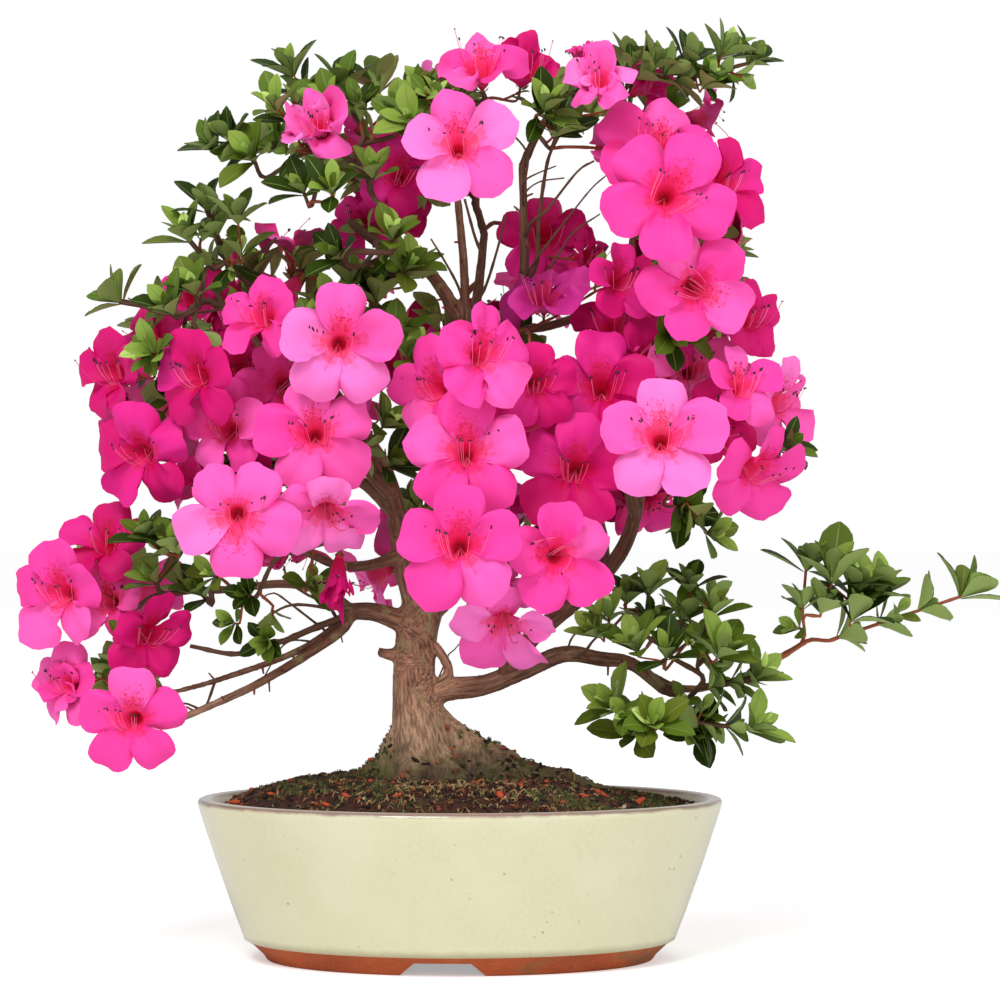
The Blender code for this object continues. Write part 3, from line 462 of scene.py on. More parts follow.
# Outlines of the glazed wall and of the bare clay: radius and height
WALL_OUTLINE = (
    (106.0, 9.6), (107.6, 10.4), (108.6, 13.0), (112.8, 24.0), (117.8, 38.0), (122.7, 52.0),
    (127.0, 65.0), (129.6, 73.0), (130.6, 76.4), (131.0, 78.2), (130.4, 79.8), (129.0, 80.4),
    (126.4, 80.5), (124.2, 80.2), (123.0, 79.2), (122.4, 77.0), (120.2, 68.0), (116.6, 56.0),
)
CLAY_OUTLINE = (
    (0.0, 12.0), (103.0, 12.0), (106.4, 10.2), (105.6, 9.4), (104.0, 8.4), (98.2, 3.0), (96.9, 1.0),
    (96.3, 0.3), (95.4, 0.0), (89.6, 0.0), (88.6, 0.4), (88.0, 1.2), (87.8, 6.2), (86.4, 6.8), (0.0, 6.8),
)


def oval_less(height):
    return float(np.interp(height, [h for h, _ in OVAL], [less for _, less in OVAL]))


def spun_oval(outline):
    """An outline of radius and height, spun round and drawn in along the depth."""
    bm = bmesh.new()
    points = [bm.verts.new((radius * MM, 0, height * MM)) for radius, height in outline]
    edges = [bm.edges.new(pair) for pair in zip(points, points[1:])]
    bmesh.ops.spin(
        bm, geom=points + edges, cent=(0, 0, 0), axis=(0, 0, 1), dvec=(0, 0, 0),
        angle=2 * math.pi, steps=POT_STEPS, use_merge=True, use_duplicate=False,
    )
    bmesh.ops.remove_doubles(bm, verts=bm.verts, dist=0.01 * MM)
    for vert in bm.verts:
        radius = math.hypot(vert.co.x, vert.co.y)
        if radius > oval_less(vert.co.z):
            vert.co.y *= (radius - oval_less(vert.co.z)) / radius
        else:
            vert.co.y = 0
    bmesh.ops.recalc_face_normals(bm, faces=bm.faces)
    return mesh_from(bm)


print("the rim is", 2 * max(WALL_OUTLINE)[0], "mm wide and stands", round(RIM / MM, 1), "mm high")

# %% [markdown]
# The glaze is a milky green glass, thin on the rim, where the clay shows as a mauve-brown line, and
# pooled just above the foot. It has a fine net of cracks, from the edges between random cells, and
# a scatter of iron specks. The coat of the shader is the glass.

# %% The glazed wall
def celadon():
    glass = {"coat_weight": 0.8, "coat_roughness": 0.07, "specular_ior_level": 0.5}
    glaze = Finish("celadon_glaze", roughness=0.30, **glass)
    place = glaze.place()
    height = glaze.along(place, 2)
    cloud = glaze.noise(place, 26)
    drift = glaze.noise(place, 9, detail=2)
    glaze.body = glaze.blend(cloud.between(0.35, 0.7), linear(214, 211, 175), linear(208, 206, 167))
    glaze.over(drift.between(0.52, 0.75) * 0.6, 221, 216, 186)
    net = glaze.cells(place, 300, "DISTANCE_TO_EDGE")
    cracks = 1 - net.between(0.0, 0.05)
    glaze.over(cracks * cloud.between(0.4, 0.6) * 0.14, 150, 142, 104)
    specks = 1 - glaze.cells(place, 150).between(0.07, 0.14)
    glaze.over(specks * glaze.noise(place, 40).between(0.52, 0.62) * 0.55, 96, 78, 52)
    pooled = 1 - (height + glaze.noise(place, 120) * (2.4 * MM)).between(11.5 * MM, 15 * MM)
    glaze.over(pooled * 0.55, 156, 150, 104)
    worn = (height + glaze.noise(place, 70) * (3 * MM)).between(79.6 * MM, 81.0 * MM)
    glaze.over(worn, 146, 120, 108)
    lip = height.between(79.9 * MM, 80.35 * MM)
    glaze.over(lip * 0.8, 196, 188, 164)
    glaze.set("Base Color", glaze.body)
    glaze.bump(cloud * 0.6 + cracks * -0.25 + drift, 0.35 * MM, 0.5)
    return glaze.material


glazed_wall = spun_oval(WALL_OUTLINE)
glazed_wall.shade_smooth()
piece("pot_glazed_wall", glazed_wall, [celadon()], "glaze", "pot")

# %% [markdown]
# The bare foot is orange where the fire was clear and darker where it was not, with a gritty skin
# and a smudge of old moss. Its two notches are one long wedge, cut right through the depth by a
# Boolean modifier, so that front and back match.

# %% The bare foot
NOTCH_MIDDLE = -7.6
NOTCH_CORNERS = ((-21.85, -1), (21.85, -1), (13.7, 6.6), (-13.7, 6.6))  # across and height
NOTCH_LENGTH = 220 * MM
FOOT_SHARP = math.radians(38)  # edges of the foot that turn more than this stay sharp


def bare_clay():
    clay = Finish("unglazed_clay", roughness=0.82)
    place = clay.place()
    grit = clay.noise(place, 900, detail=2)
    fire = clay.noise(place, 30)
    clay.body = clay.blend(fire.between(0.35, 0.68), linear(184, 88, 40), linear(154, 66, 28))
    clay.over(grit.between(0.55, 0.7) * 0.25, 205, 140, 96)
    smudge = clay.noise(clay.place((1, 1, 3)), 22, detail=4)
    clay.over(smudge.between(0.56, 0.7) * 0.7, 96, 92, 58)
    clay.set("Base Color", clay.body)
    clay.bump(grit, 0.15 * MM, 0.7)
    return clay.material


def notch_cutter():
    """A long wedge along the depth that opens the foot ring front and back."""
    bm = bmesh.new()
    start = [
        bm.verts.new(((x + NOTCH_MIDDLE) * MM, -NOTCH_LENGTH / 2, z * MM)) for x, z in NOTCH_CORNERS
    ]
    grown = bmesh.ops.extrude_face_region(bm, geom=[bm.faces.new(start)])
    moved = [v for v in grown["geom"] if isinstance(v, bmesh.types.BMVert)]
    bmesh.ops.translate(bm, verts=moved, vec=(0, NOTCH_LENGTH, 0))
    bmesh.ops.recalc_face_normals(bm, faces=bm.faces)
    return put_in("notch", mesh_from(bm))


def notched_foot():
    clay = put_in("clay", spun_oval(CLAY_OUTLINE))
    cutter = notch_cutter()
    cut = clay.modifiers.new("notch", "BOOLEAN")
    cut.operation = "DIFFERENCE"
    cut.solver = "EXACT"
    cut.object = cutter
    foot = mesh_of(clay)
    bpy.data.objects.remove(cutter)
    foot.shade_smooth()
    foot.set_sharp_from_angle(angle=FOOT_SHARP)
    return foot


piece("pot_clay_foot", notched_foot(), [bare_clay()], "glaze", "pot")

# %% [markdown]
# ## The soil
# The pot is filled to just under its rim with dark peat that rises to a low mound under the
# trunk. A flat grid is wrapped into rings round the middle and raised by height. Two sizes of
# noise make it lumpy, as fibrous peat is, and it dips where it meets the wall.

# %% The height of the mound
SOIL_EDGE = 75.5 * MM
SOIL_TOP = 89.7 * MM
SOIL_HALF = (121.4 * MM, 85.4 * MM)
SHOULDER = 0.45  # the mound rises over this share of the way in from the wall, and is flat inside
TRUNK_FOOT_MIDDLE = -17 * MM
# Ridges of the mound over the surface roots: bearing in degrees, reach and height
SOIL_RIDGES = ((0, 62, 4.5), (183, 46, 3.0), (92, 44, 2.5), (318, 40, 2.5))
RIDGE_SIDE = 24  # degrees from a ridge's back to its foot
RIDGE_END = 2.2  # how steeply a ridge ends
RIGHT_DIP = 8 * MM  # the mound falls away at its right end
RIGHT_DIP_FROM = 48 * MM
RIGHT_DIP_OVER = 30 * MM
# Lumps and grains of the peat: size in the plan and height
LUMPS = (9 * MM, 1.7 * MM)
GRAINS = (2.6 * MM, 1.3 * MM)


def wall_share(x, y):
    """How far out a point of the plan lies: 0 in the pot's middle and 1 at its inner wall."""
    return math.hypot(x / SOIL_HALF[0], y / SOIL_HALF[1])


def degrees_off(bearing, other):
    return abs((bearing - other + 180) % 360 - 180)


def soil_height(x, y):
    """The top of the soil over a point of the plan, in metres."""
    share = min(1.0, wall_share(x, y))
    rise = math.sin(min(1.0, (1 - share) / SHOULDER) * math.pi / 2)
    height = SOIL_EDGE + (SOIL_TOP - SOIL_EDGE) * rise
    bearing = math.degrees(math.atan2(y, x - TRUNK_FOOT_MIDDLE))
    distance = math.hypot(x - TRUNK_FOOT_MIDDLE, y)
    for ridge_bearing, reach, ridge_height in SOIL_RIDGES:
        off = degrees_off(bearing, ridge_bearing) / RIDGE_SIDE
        inside = max(0.0, 1 - distance / (reach * MM))
        height += ridge_height * MM * max(0.0, 1 - off) * min(1.0, RIDGE_END * inside)
    height -= RIGHT_DIP * rise * min(1.0, max(0.0, (x - RIGHT_DIP_FROM) / RIGHT_DIP_OVER))
    spot = Vector((x, y, 0))
    height += noise.noise(spot / LUMPS[0]) * LUMPS[1] * (1 - share**6)
    height += noise.noise(spot / GRAINS[0]) * GRAINS[1]
    return height


print("the mound's middle stands", round(soil_height(0, 0) / MM, 1), "mm above the table")

# %% [markdown]
# The mound's skin is the flat grid, wrapped into rings: its two directions become a turn and a
# distance from the wall. Its colour mixes dark peat and brown fibre, damp and mossy patches.

# %% The mound
MOUND_GRID = (150, 46)  # faces round the mound and from its wall to its middle
SAME_PLACE = 0.02 * MM  # corners closer than this are one


def wrapped_skin(grid, place, capped=False):
    """A flat grid wrapped round: place takes how far across (-1 to 1) and along (0 to 1)."""
    bm = bmesh.new()
    made = bmesh.ops.create_grid(bm, x_segments=grid[0], y_segments=grid[1], size=1)
    for vert in made["verts"]:
        vert.co = place(vert.co.x, (vert.co.y + 1) / 2)
    bmesh.ops.remove_doubles(bm, verts=bm.verts, dist=SAME_PLACE)
    if capped:
        bmesh.ops.holes_fill(bm, edges=bm.edges)
    bmesh.ops.recalc_face_normals(bm, faces=bm.faces)
    return mesh_from(bm)


def on_the_mound(across, along):
    turn, share = math.pi * across, 1 - along
    x, y = SOIL_HALF[0] * share * math.cos(turn), SOIL_HALF[1] * share * math.sin(turn)
    return x, y, soil_height(x, y)


def peat():
    soil = Finish("fibrous_peat", roughness=0.95)
    place = soil.place()
    fibre = soil.noise(soil.place((1, 4, 2)), 260, detail=6, roughness=0.7)
    crumbs = soil.cells(place, 330)
    damp = soil.noise(place, 34)
    soil.body = soil.blend(fibre.between(0.35, 0.68), linear(24, 13, 9), linear(92, 48, 28))
    soil.over(damp.between(0.5, 0.7) * 0.6, 58, 30, 20)
    mossy = soil.noise(place, 52, detail=5)
    soil.over(mossy.between(0.57, 0.66) * 0.7, 62, 68, 30)
    soil.set("Base Color", soil.body)
    soil.bump(fibre + crumbs, 1.2 * MM, 0.9)
    return soil.material


mound = wrapped_skin(MOUND_GRID, on_the_mound)
mound.shade_smooth()
piece("soil_mound", mound, [peat()], "peat", "soil")

# %% [markdown]
# ## Trunk and boughs
# A smooth course runs through a few measured points of each limb. The trunk is a grid wrapped
# round its axis, with its foot pushed out over the surface roots. Limbs that only cross look like
# crossed pipes, so all are joined and skinned again by a voxel remesh: one bark over every fork.

# %% The courses of the trunk and the limbs
# Trunk: for each ring its height, middle across and plain radius
TRUNK_RINGS = (
    (84, -17, 23), (90, -17, 21), (97, -17.5, 18.5), (106, -18.5, 16.5), (118, -20, 14), (130, -22, 11.8),
    (141, -23, 10.6), (154, -22.5, 10.3), (166, -21, 10.6), (176, -18.5, 11.0), (182, -17.5, 9.5),
)
TRUNK_GRID = (72, 60)  # faces round the trunk and up it
TRUNK_FOOT = 90
# Surface roots: bearing in degrees from +X, reach at the foot, height of the root's back
ROOTS = ((0, 80, 40), (180, 38, 28), (90, 42, 24), (248, 33, 20), (315, 37, 18))
ROOT_SPREAD = 26  # degrees from a root's back to its side
ROOT_DIP = 1.9  # how hollow a root's back runs down to the foot
ROOT_SIDE = 1.2
# The cut stub on the trunk's left and the broken one on its right: radius at each end, course
STUBS = (
    (3.9, 2.3, (-24, 0, 150.5), (-33, -2, 151.5), (-41, -3, 153.2)),
    (2.9, 2.3, (-14, -3, 136), (-5.5, -4, 142), (-8, -4, 150), (-12, -4, 156.5)),
)
# Limbs: radius where it leaves its parent, radius at the tip, then its course (x, y, z).
LIMBS = {
    "leader_left": (
        6.5, 3.2, (-20, 0, 172), (-27, -2, 196), (-33, -2, 228), (-42, -2, 252), (-66, 2, 286),
    ),
    "leader_middle": (8.0, 4.4, (-14, 2, 172), (-7, 6, 200), (2, 10, 250), (4, 5, 296), (3, 0, 324)),
    "bough_low_right": (
        6.2, 3.0, (-20, 0, 133), (-6, 0, 134.5), (12, 0, 136.5), (32, 0, 144), (52, 0, 152),
        (70, 1, 149.5), (86, 2, 147), (102, 2, 134),
    ),
    "bough_right": (5.0, 3.0, (22, 1, 140), (36, 4, 160), (72, 8, 191), (88, 9, 222), (92, 8, 276)),
    "bough_far_right": (2.4, 1.6, (88, 2, 145), (112, 12, 134), (138, 14, 138), (160, 12, 149)),
    "bough_left": (5.4, 4.2, (-22, 0, 165), (-34, -1, 170.5), (-46, -2, 173.5), (-58, -3, 173)),
    "bough_left_high": (2.9, 1.9, (-53, -2, 174), (-70, 2, 184), (-90, 4, 187), (-116, 5, 184)),
    "bough_left_middle": (2.2, 1.4, (-54, -1, 172), (-80, 2, 154), (-118, 0, 140), (-143, -4, 133)),
    "bough_left_low": (
        2.8, 1.8, (-53, -4, 171), (-64, -8, 160), (-98, -14, 139), (-126, -18, 126), (-140, -20, 120),
    ),
    "bough_upper_left": (3.3, 2.0, (-28, -2, 203), (-43, -13, 197), (-60, -28, 197), (-76, -42, 204)),
    "bough_front_low": (4.0, 2.4, (-17, -2, 174), (-12, -22, 189), (-6, -46, 200)),
    "bough_front": (4.0, 2.4, (0, 8, 238), (1, -14, 250), (3, -42, 262)),
    "bough_front_left": (3.5, 2.2, (-34, -2, 230), (-48, -15, 246), (-68, -38, 264)),
    "bough_front_right": (3.5, 2.2, (88, 9, 220), (84, -10, 236), (80, -40, 251)),
    "bough_outer_left": (3.0, 2.0, (-58, 1, 276), (-78, -2, 286), (-98, -5, 302), (-110, -6, 322)),
    "bough_top_left": (4.2, 2.5, (3, 1, 312), (-8, -2, 333), (-20, -4, 347), (-36, -6, 353)),
    "bough_inner": (2.4, 1.8, (4, 3, 286), (16, -12, 298), (26, -20, 310)),
    "bough_top": (2.6, 1.8, (3, 0, 314), (2, -5, 345), (-1, -8, 378), (-4, -10, 402)),
    "bough_top_right": (3.2, 2.0, (4, 2, 308), (20, 5, 318), (31, 6, 336), (32, 5, 368), (31, 4, 397)),
    "bough_right_upper": (
        2.7, 1.9, (17, 6, 316), (40, 18, 316), (65, 16, 324), (84, 4, 336), (86, -6, 360),
    ),
    "bough_back_low": (4.5, 2.8, (-16, 3, 174), (-9, 32, 192), (0, 62, 204)),
    "bough_back_left": (3.8, 2.4, (-32, -2, 222), (-50, 28, 238), (-76, 58, 248)),
    "bough_back_right": (4.0, 2.5, (72, 8, 190), (72, 34, 210), (68, 66, 230)),
    "bough_back_upper": (4.0, 2.5, (2, 9, 264), (6, 36, 284), (8, 66, 300)),
    "bough_back_top": (3.2, 2.2, (4, 2, 304), (9, 24, 336), (12, 44, 366)),
    "bough_back_left_high": (3.0, 2.0, (-48, 0, 262), (-68, 26, 290), (-86, 54, 316)),
    "bough_back_right_high": (3.0, 2.0, (92, 8, 258), (100, 32, 288), (104, 52, 318)),
}


def smooth_course(points, step):
    """Points along a smooth curve through the given ones, about a step apart."""
    ends = [2 * points[0] - points[1], *points, 2 * points[-1] - points[-2]]
    course = [points[0]]
    for a, b, c, d in zip(ends, ends[1:], ends[2:], ends[3:]):
        pieces = max(1, round((c - b).length / step))
        for k in range(1, pieces + 1):
            t = k / pieces
            bend, twist = 2 * a - 5 * b + 4 * c - d, 3 * b - a - 3 * c + d
            course.append(0.5 * (2 * b + (c - a) * t + bend * t**2 + twist * t**3))
    return course


def trunk_radius(plain_radius, height, bearing):
    """The trunk's radius on one side: its plain radius, pushed out where a surface root runs."""
    radius = plain_radius
    for root_bearing, reach, back in ROOTS:
        off = degrees_off(math.degrees(bearing), root_bearing) / ROOT_SPREAD
        drop = max(0.0, 1 - (height - TRUNK_FOOT) / back)
        push = (reach - plain_radius) * drop**ROOT_DIP * max(0.0, 1 - off) ** ROOT_SIDE
        radius = max(radius, plain_radius + push)
    return radius * MM


def on_the_trunk(across, along):
    turn = math.pi * (across + 1)
    heights, middles, radii = zip(*TRUNK_RINGS)
    height = heights[0] + (heights[-1] - heights[0]) * along
    middle, plain_radius = [float(np.interp(height, heights, row)) for row in (middles, radii)]
    radius = trunk_radius(plain_radius, height, turn)
    return middle * MM + radius * math.cos(turn), radius * math.sin(turn), height * MM


LIMB_STEP = 4  # millimetres between the points of a limb


def limb_course(points):
    return smooth_course([Vector(p) * MM for p in points], LIMB_STEP * MM)


LIMB_COURSES = {name: limb_course(points) for name, (_, _, *points) in LIMBS.items()}
print("limbs:", len(LIMBS), "with", sum(len(c) for c in LIMB_COURSES.values()), "points")

# %% [markdown]
# Each limb is a tube that starts thin inside its parent, so that no end shows, and swells into a
# collar just outside it, as live wood does round a branch.

# %% Limbs as tubes
LIMB_ROUNDING = 4
COLLAR = 0.32  # how much a limb swells where it leaves its parent
COLLAR_REACH = 1.6  # in radii
FOOT_SHARES = {0: 0.5, 1: 0.8}


def limb_radii(start, end, count):
    radii = []
    for k in range(count):
        share = k / (count - 1)
        collar = COLLAR * math.exp(-share * count * LIMB_STEP / (COLLAR_REACH * start))
        swell = (1 + collar) * FOOT_SHARES.get(k, 1.0)
        radii.append((start + (end - start) * share) * MM * swell)
    return radii


def limb_tubes():
    rows = [(LIMB_COURSES[name], *row[:2]) for name, row in LIMBS.items()]
    rows += [(limb_course(points), start, end) for start, end, *points in STUBS]
    courses = [(course, limb_radii(start, end, len(course)), 0) for course, start, end in rows]
    return tubes(courses, LIMB_ROUNDING), courses


limbs, limb_rows = limb_tubes()
print("corners on the limbs:", len(limbs.vertices))

# %% [markdown]
# The relief of the bark follows the grain: narrow across a limb and long along it. So each point
# looks up the nearest limb's axis, and reads a noise that is stretched along that axis. Knots and
# old leaf scars are a second, coarser noise. The depth goes down with the limb's thickness.

# %% One skin over trunk and boughs, and its grain
VOXEL = 1.15 * MM
GRAIN_SHARE = 0.12  # the grain along a limb, against the grain across it
# Sizes of the noises that shape the skin
RIDGE = 1.5 * MM
KNOT = 7 * MM
LUMP, LUMP_HEIGHT = 8 * MM, 2.6 * MM
LUMPY_BELOW = 120 * MM  # the root flare is lumpy, more so over the next stretch down
LUMPY_OVER = 20 * MM
RELIEF_MOST = 0.5 * MM
RELIEF_SHARE = 0.09  # of the limb's radius


def grain_axes(courses):
    """For each point of trunk and limbs: its place, the radius, two axes across the limb that turn
    with it, the axis along it, and how far along the point lies."""
    trunk = [Vector((middle, 0, height)) * MM for height, middle, _ in TRUNK_RINGS]
    trunk_radii = [radius * MM for _, _, radius in TRUNK_RINGS]
    found = []
    for points, radii in [(trunk, trunk_radii)] + [course[:2] for course in courses]:
        first, along = EAST, 0.0
        for k, point in enumerate(points):
            way = (points[min(k + 1, len(points) - 1)] - points[max(k - 1, 0)]).normalized()
            first, second = across_of(way, first)
            along += (point - points[max(k - 1, 0)]).length
            found.append((point, radii[k], first, second, way, along))
    return found


def carve_bark(mesh, courses):
    """Moves the skin in and out along the grain, and keeps each point's place in the grain as an
    attribute, which the bark's colours follow too."""
    axes = grain_axes(courses)
    tree = KDTree(len(axes))
    for k, row in enumerate(axes):
        tree.insert(row[0], k)
    tree.balance()
    normals = [normal.vector.copy() for normal in mesh.vertex_normals]
    places = []
    for vert, normal in zip(mesh.vertices, normals):
        _, k, _ = tree.find(vert.co)
        point, radius, first, second, way, along = axes[k]
        off = vert.co - point
        grain = Vector((off.dot(first), off.dot(second), (along + off.dot(way)) * GRAIN_SHARE))
        places.extend(grain)
        ridge = 0.5 - abs(noise.noise(grain / RIDGE))
        knot = noise.noise(vert.co / KNOT)
        low = min(1.0, max(0.0, (LUMPY_BELOW - vert.co.z) / LUMPY_OVER))
        lump = low * LUMP_HEIGHT * noise.noise(vert.co / LUMP)
        relief = min(RELIEF_MOST, RELIEF_SHARE * radius)
        vert.co += normal * (relief * (1.2 * ridge + 0.5 * knot - 0.35) + lump)
    mesh.attributes.new("grain", "FLOAT_VECTOR", "POINT").data.foreach_set("vector", places)


def make_wood():
    bm = bmesh.new()
    bm.from_mesh(wrapped_skin(TRUNK_GRID, on_the_trunk, capped=True))
    bm.from_mesh(limbs)
    holder = put_in("wood", mesh_from(bm))
    remesh = holder.modifiers.new("one_bark", "REMESH")
    remesh.mode = "VOXEL"
    remesh.voxel_size = VOXEL
    skin = mesh_of(holder)
    bm = bmesh.new()
    bm.from_mesh(skin)
    every_way = {"use_axis_x": True, "use_axis_y": True, "use_axis_z": True}
    bmesh.ops.smooth_vert(bm, verts=bm.verts, factor=0.5, **every_way)
    mesh = mesh_from(bm)
    carve_bark(mesh, limb_rows)
    mesh.shade_smooth()
    return mesh


wood = make_wood()
print("corners on the wood:", len(wood.vertices))

# %% [markdown]
# The bark is mauve-brown with long pale flecks. It is tan and full of lichen low on the trunk,
# darker on the boughs, and moss and damp climb over the roots. Each of these is one more blend.

# %% The bark's colours
def bark():
    skin = Finish("azalea_bark", roughness=0.86)
    place = skin.place()
    along = skin.node("ShaderNodeAttribute", {"attribute_name": "grain"}, output=1)
    grain = skin.noise(along, 700, detail=4, roughness=0.65)
    patch = skin.noise(place, 48, detail=4)
    height = skin.along(place, 2)
    skin.body = skin.blend(grain.between(0.38, 0.62), linear(90, 55, 40), linear(182, 132, 104))
    skin.over(patch.between(0.50, 0.70) * 0.5, 122, 80, 58)
    young = (height + skin.noise(place, 30) * (30 * MM)).between(160 * MM, 205 * MM)
    skin.over(young * 0.5, 92, 58, 42)
    across = skin.along(place, 0) - (TRUNK_FOOT_MIDDLE + SHIFT.x)
    boughs = across.between(12 * MM, 26 * MM) - across.between(-32 * MM, -18 * MM) + 1
    high = height.between(114 * MM, 126 * MM)
    skin.over(boughs * high * 0.45, 84, 52, 38)
    tan = 1 - (height + skin.noise(place, 40) * (24 * MM)).between(122 * MM, 150 * MM)
    old = skin.blend(grain.between(0.4, 0.6), linear(142, 114, 84), linear(196, 166, 134))
    skin.body = skin.blend(tan * 0.55, skin.body, old)
    flecks = skin.cells(along, 420)
    skin.over((1 - flecks.between(0.1, 0.25)) * 0.35, 186, 158, 132)
    spots = skin.noise(place, 120, detail=5).between(0.56, 0.66)
    lichen = spots * skin.noise(place, 20).between(0.46, 0.6)
    skin.over(lichen * 0.6, 150, 144, 96)
    damp = 1 - (height + skin.noise(place, 90, detail=5) * (34 * MM)).between(112 * MM, 132 * MM)
    moss = skin.blend(patch.between(0.4, 0.6), linear(52, 42, 24), linear(86, 84, 42))
    skin.body = skin.blend(damp * 0.85, skin.body, moss)
    skin.set("Base Color", skin.body)
    skin.bump(grain + patch * 0.5, 0.4 * MM, 0.6)
    return skin.material


ROOT_SKIN = BVHTree.FromPolygons([v.co for v in wood.vertices], [f.vertices for f in wood.polygons])
piece("trunk_and_boughs", wood, [bark()], "bark", "trunk", *LIMBS)

# %% [markdown]
# ## What lies on the peat and the roots
# The small things make the soil look real from close by: moss in low cushions that climb the
# surface roots, chopped tan sphagnum, dark root fibres, and bits of red bark. Each is a tiny form,
# made once and set down many times at random, with its foot in the soil or on a root.

# %% The moss, and the ground it stands on
# Moss patches in the plan: middle, half sizes, tufts
MOSS_PATCHES = (
    (-58, -30, 26, 18, 200), (-82, -18, 20, 24, 160), (-36, -52, 16, 12, 120), (38, -16, 34, 12, 60),
    (78, -24, 24, 20, 120), (96, 6, 14, 26, 160), (58, -56, 26, 10, 320), (-60, 36, 34, 18, 420),
    (20, 44, 44, 18, 460), (84, 36, 18, 16, 200), (-100, 12, 12, 18, 120), (-6, -30, 12, 8, 60),
    (22, -8, 34, 14, 100), (-48, 0, 18, 14, 320), (14, -20, 20, 8, 80), (100, -26, 12, 16, 160),
)
ROOT_REACH = 116 * MM  # moss and litter lie on a root below this height
NEAR_WALL = 0.97  # nothing lies farther out than this share of the way to the wall
SPIKE = {"segments": 3, "radius1": 0.55 * MM, "radius2": 0, "depth": 2.6 * MM}
SPIKE_LEAN = math.radians(34)
MOSS_SINK = 0.3 * MM


def moss_tuft():
    """A cushion of five short pointed leaves: one upright and four that lean out round it."""
    bm = bmesh.new()
    for k in range(5):
        spike = bmesh.ops.create_cone(bm, cap_ends=False, **SPIKE)
        tip = Matrix.Rotation(SPIKE_LEAN if k else 0, 4, "X")
        turn = Matrix.Rotation(k * 2 * math.pi / 4, 4, "Z")
        lift = Matrix.Translation((0, 0, 1.0 * MM))
        bmesh.ops.transform(bm, matrix=turn @ tip @ lift, verts=spike["verts"])
    return small_form(bm)


def tilted_sky(dice, spread):
    return (SKY + Vector((dice.gauss(0, spread), dice.gauss(0, spread), 0))).normalized()


def on_the_soil(x, y, sink=0.0):
    """A point on the soil, or on the root that runs over it there."""
    height = soil_height(x, y)
    spot, normal, _, _ = ROOT_SKIN.ray_cast(Vector((x, y, ROOT_REACH)), -SKY)
    if spot and normal.z > 0:
        height = max(height, spot.z)
    return Vector((x, y, height - sink))


def spread_moss():
    dice = random.Random("moss")
    tuft, faces = moss_tuft()
    batch = Batch()
    for middle_x, middle_y, half_x, half_y, count in MOSS_PATCHES:
        for _ in range(count):
            reach, turn = math.sqrt(dice.random()), any_turn(dice)
            x = (middle_x + half_x * reach * math.cos(turn)) * MM
            y = (middle_y + half_y * reach * math.sin(turn)) * MM
            if wall_share(x, y) > NEAR_WALL:
                continue
            facing = tilted_sky(dice, 0.25)
            tilt = at_turn(EAST, NORTH, turn)
            size = dice.uniform(0.7, 1.35) * (1.15 - 0.4 * reach)
            placed = set_at(tuft, on_the_soil(x, y, MOSS_SINK), facing, tilt, size)
            batch.add(placed, faces, dice.choice((0, 0, 1, 2)))
    return batch.mesh()


MOSS = [
    plain("moss_green", (74, 80, 32), 0.95),
    plain("moss_deep", (44, 52, 20), 0.95),
    plain("moss_tip", (106, 104, 54), 0.95),
]
piece("moss", spread_moss(), MOSS, "peat")

# %% [markdown]
# Each fibre is a thin tube that wanders over the ground from point to point, arches up a little
# between its ends, and stops where the ground turns too steep for it.

# %% The fibres
FIBRE_STEP = 2.2 * MM  # the steepest that the ground may turn from point to point
FIBRE_COUNT = 1700
PALE_COUNT = 1150  # of them, the first are pale sphagnum
FIBRE_STEPS = 5
FIBRE_REACH = 0.93
FIBRE_WALL = 0.96  # a fibre ends here, as a share of the way to the wall
PALE_SPREAD = ((-4, 36), (-54, 15))  # the sphagnum lies thickest in front: middle and spread
# Slots to choose from, for sphagnum and for roots
PALE_SLOTS, ROOT_SLOTS = (0, 0, 1, 1, 4, 4, 5, 2), (2, 2, 3, 3, 5)


def fibre_course(dice, pale, x, y):
    length = dice.uniform(1.4, 4.6) * MM if pale else dice.uniform(5, 15) * MM
    heading, bend = any_turn(dice), dice.gauss(0, 1.8)
    points = []
    for share in even(FIBRE_STEPS + 1):
        way = heading + bend * share
        x, y = x + math.cos(way) * length / FIBRE_STEPS, y + math.sin(way) * length / FIBRE_STEPS
        if wall_share(x, y) > FIBRE_WALL:
            break
        arch = math.sin(share * math.pi) * dice.uniform(0.3, 1.6) * MM
        point = on_the_soil(x, y) + SKY * (arch + 0.2 * MM)
        if points and abs(point.z - points[-1].z) > FIBRE_STEP:
            break
        points.append(point)
    return points


def lay_fibres():
    dice = random.Random("fibres")
    courses = []
    for k in range(FIBRE_COUNT):
        pale = k < PALE_COUNT
        reach, turn = math.sqrt(dice.random()) * FIBRE_REACH, any_turn(dice)
        x, y = SOIL_HALF[0] * reach * math.cos(turn), SOIL_HALF[1] * reach * math.sin(turn)
        if pale and k % 4:
            x, y = [dice.gauss(*spread) * MM for spread in PALE_SPREAD]
        points = fibre_course(dice, pale, x, y)
        if len(points) < 4:
            continue
        thick = dice.uniform(0.25, 0.6) * MM if pale else dice.uniform(0.2, 0.42) * MM
        shares = even(len(points))
        radii = [thick * (0.45 + 0.55 * math.sin(math.pi * (0.15 + 0.7 * s))) for s in shares]
        courses.append((points, radii, dice.choice(PALE_SLOTS if pale else ROOT_SLOTS)))
    return tubes(courses)


FIBRES = [
    plain("sphagnum_tan", (164, 134, 90), 0.95),
    plain("sphagnum_brown", (110, 72, 43), 0.95),
    plain("root_fibre", (44, 24, 16), 0.95),
    plain("old_needle", (92, 46, 28), 0.9),
    plain("sphagnum_green", (110, 106, 62), 0.95),
    plain("peat_thread", (74, 36, 21), 0.95),
]
piece("soil_fibres", lay_fibres(), FIBRES, "peat")

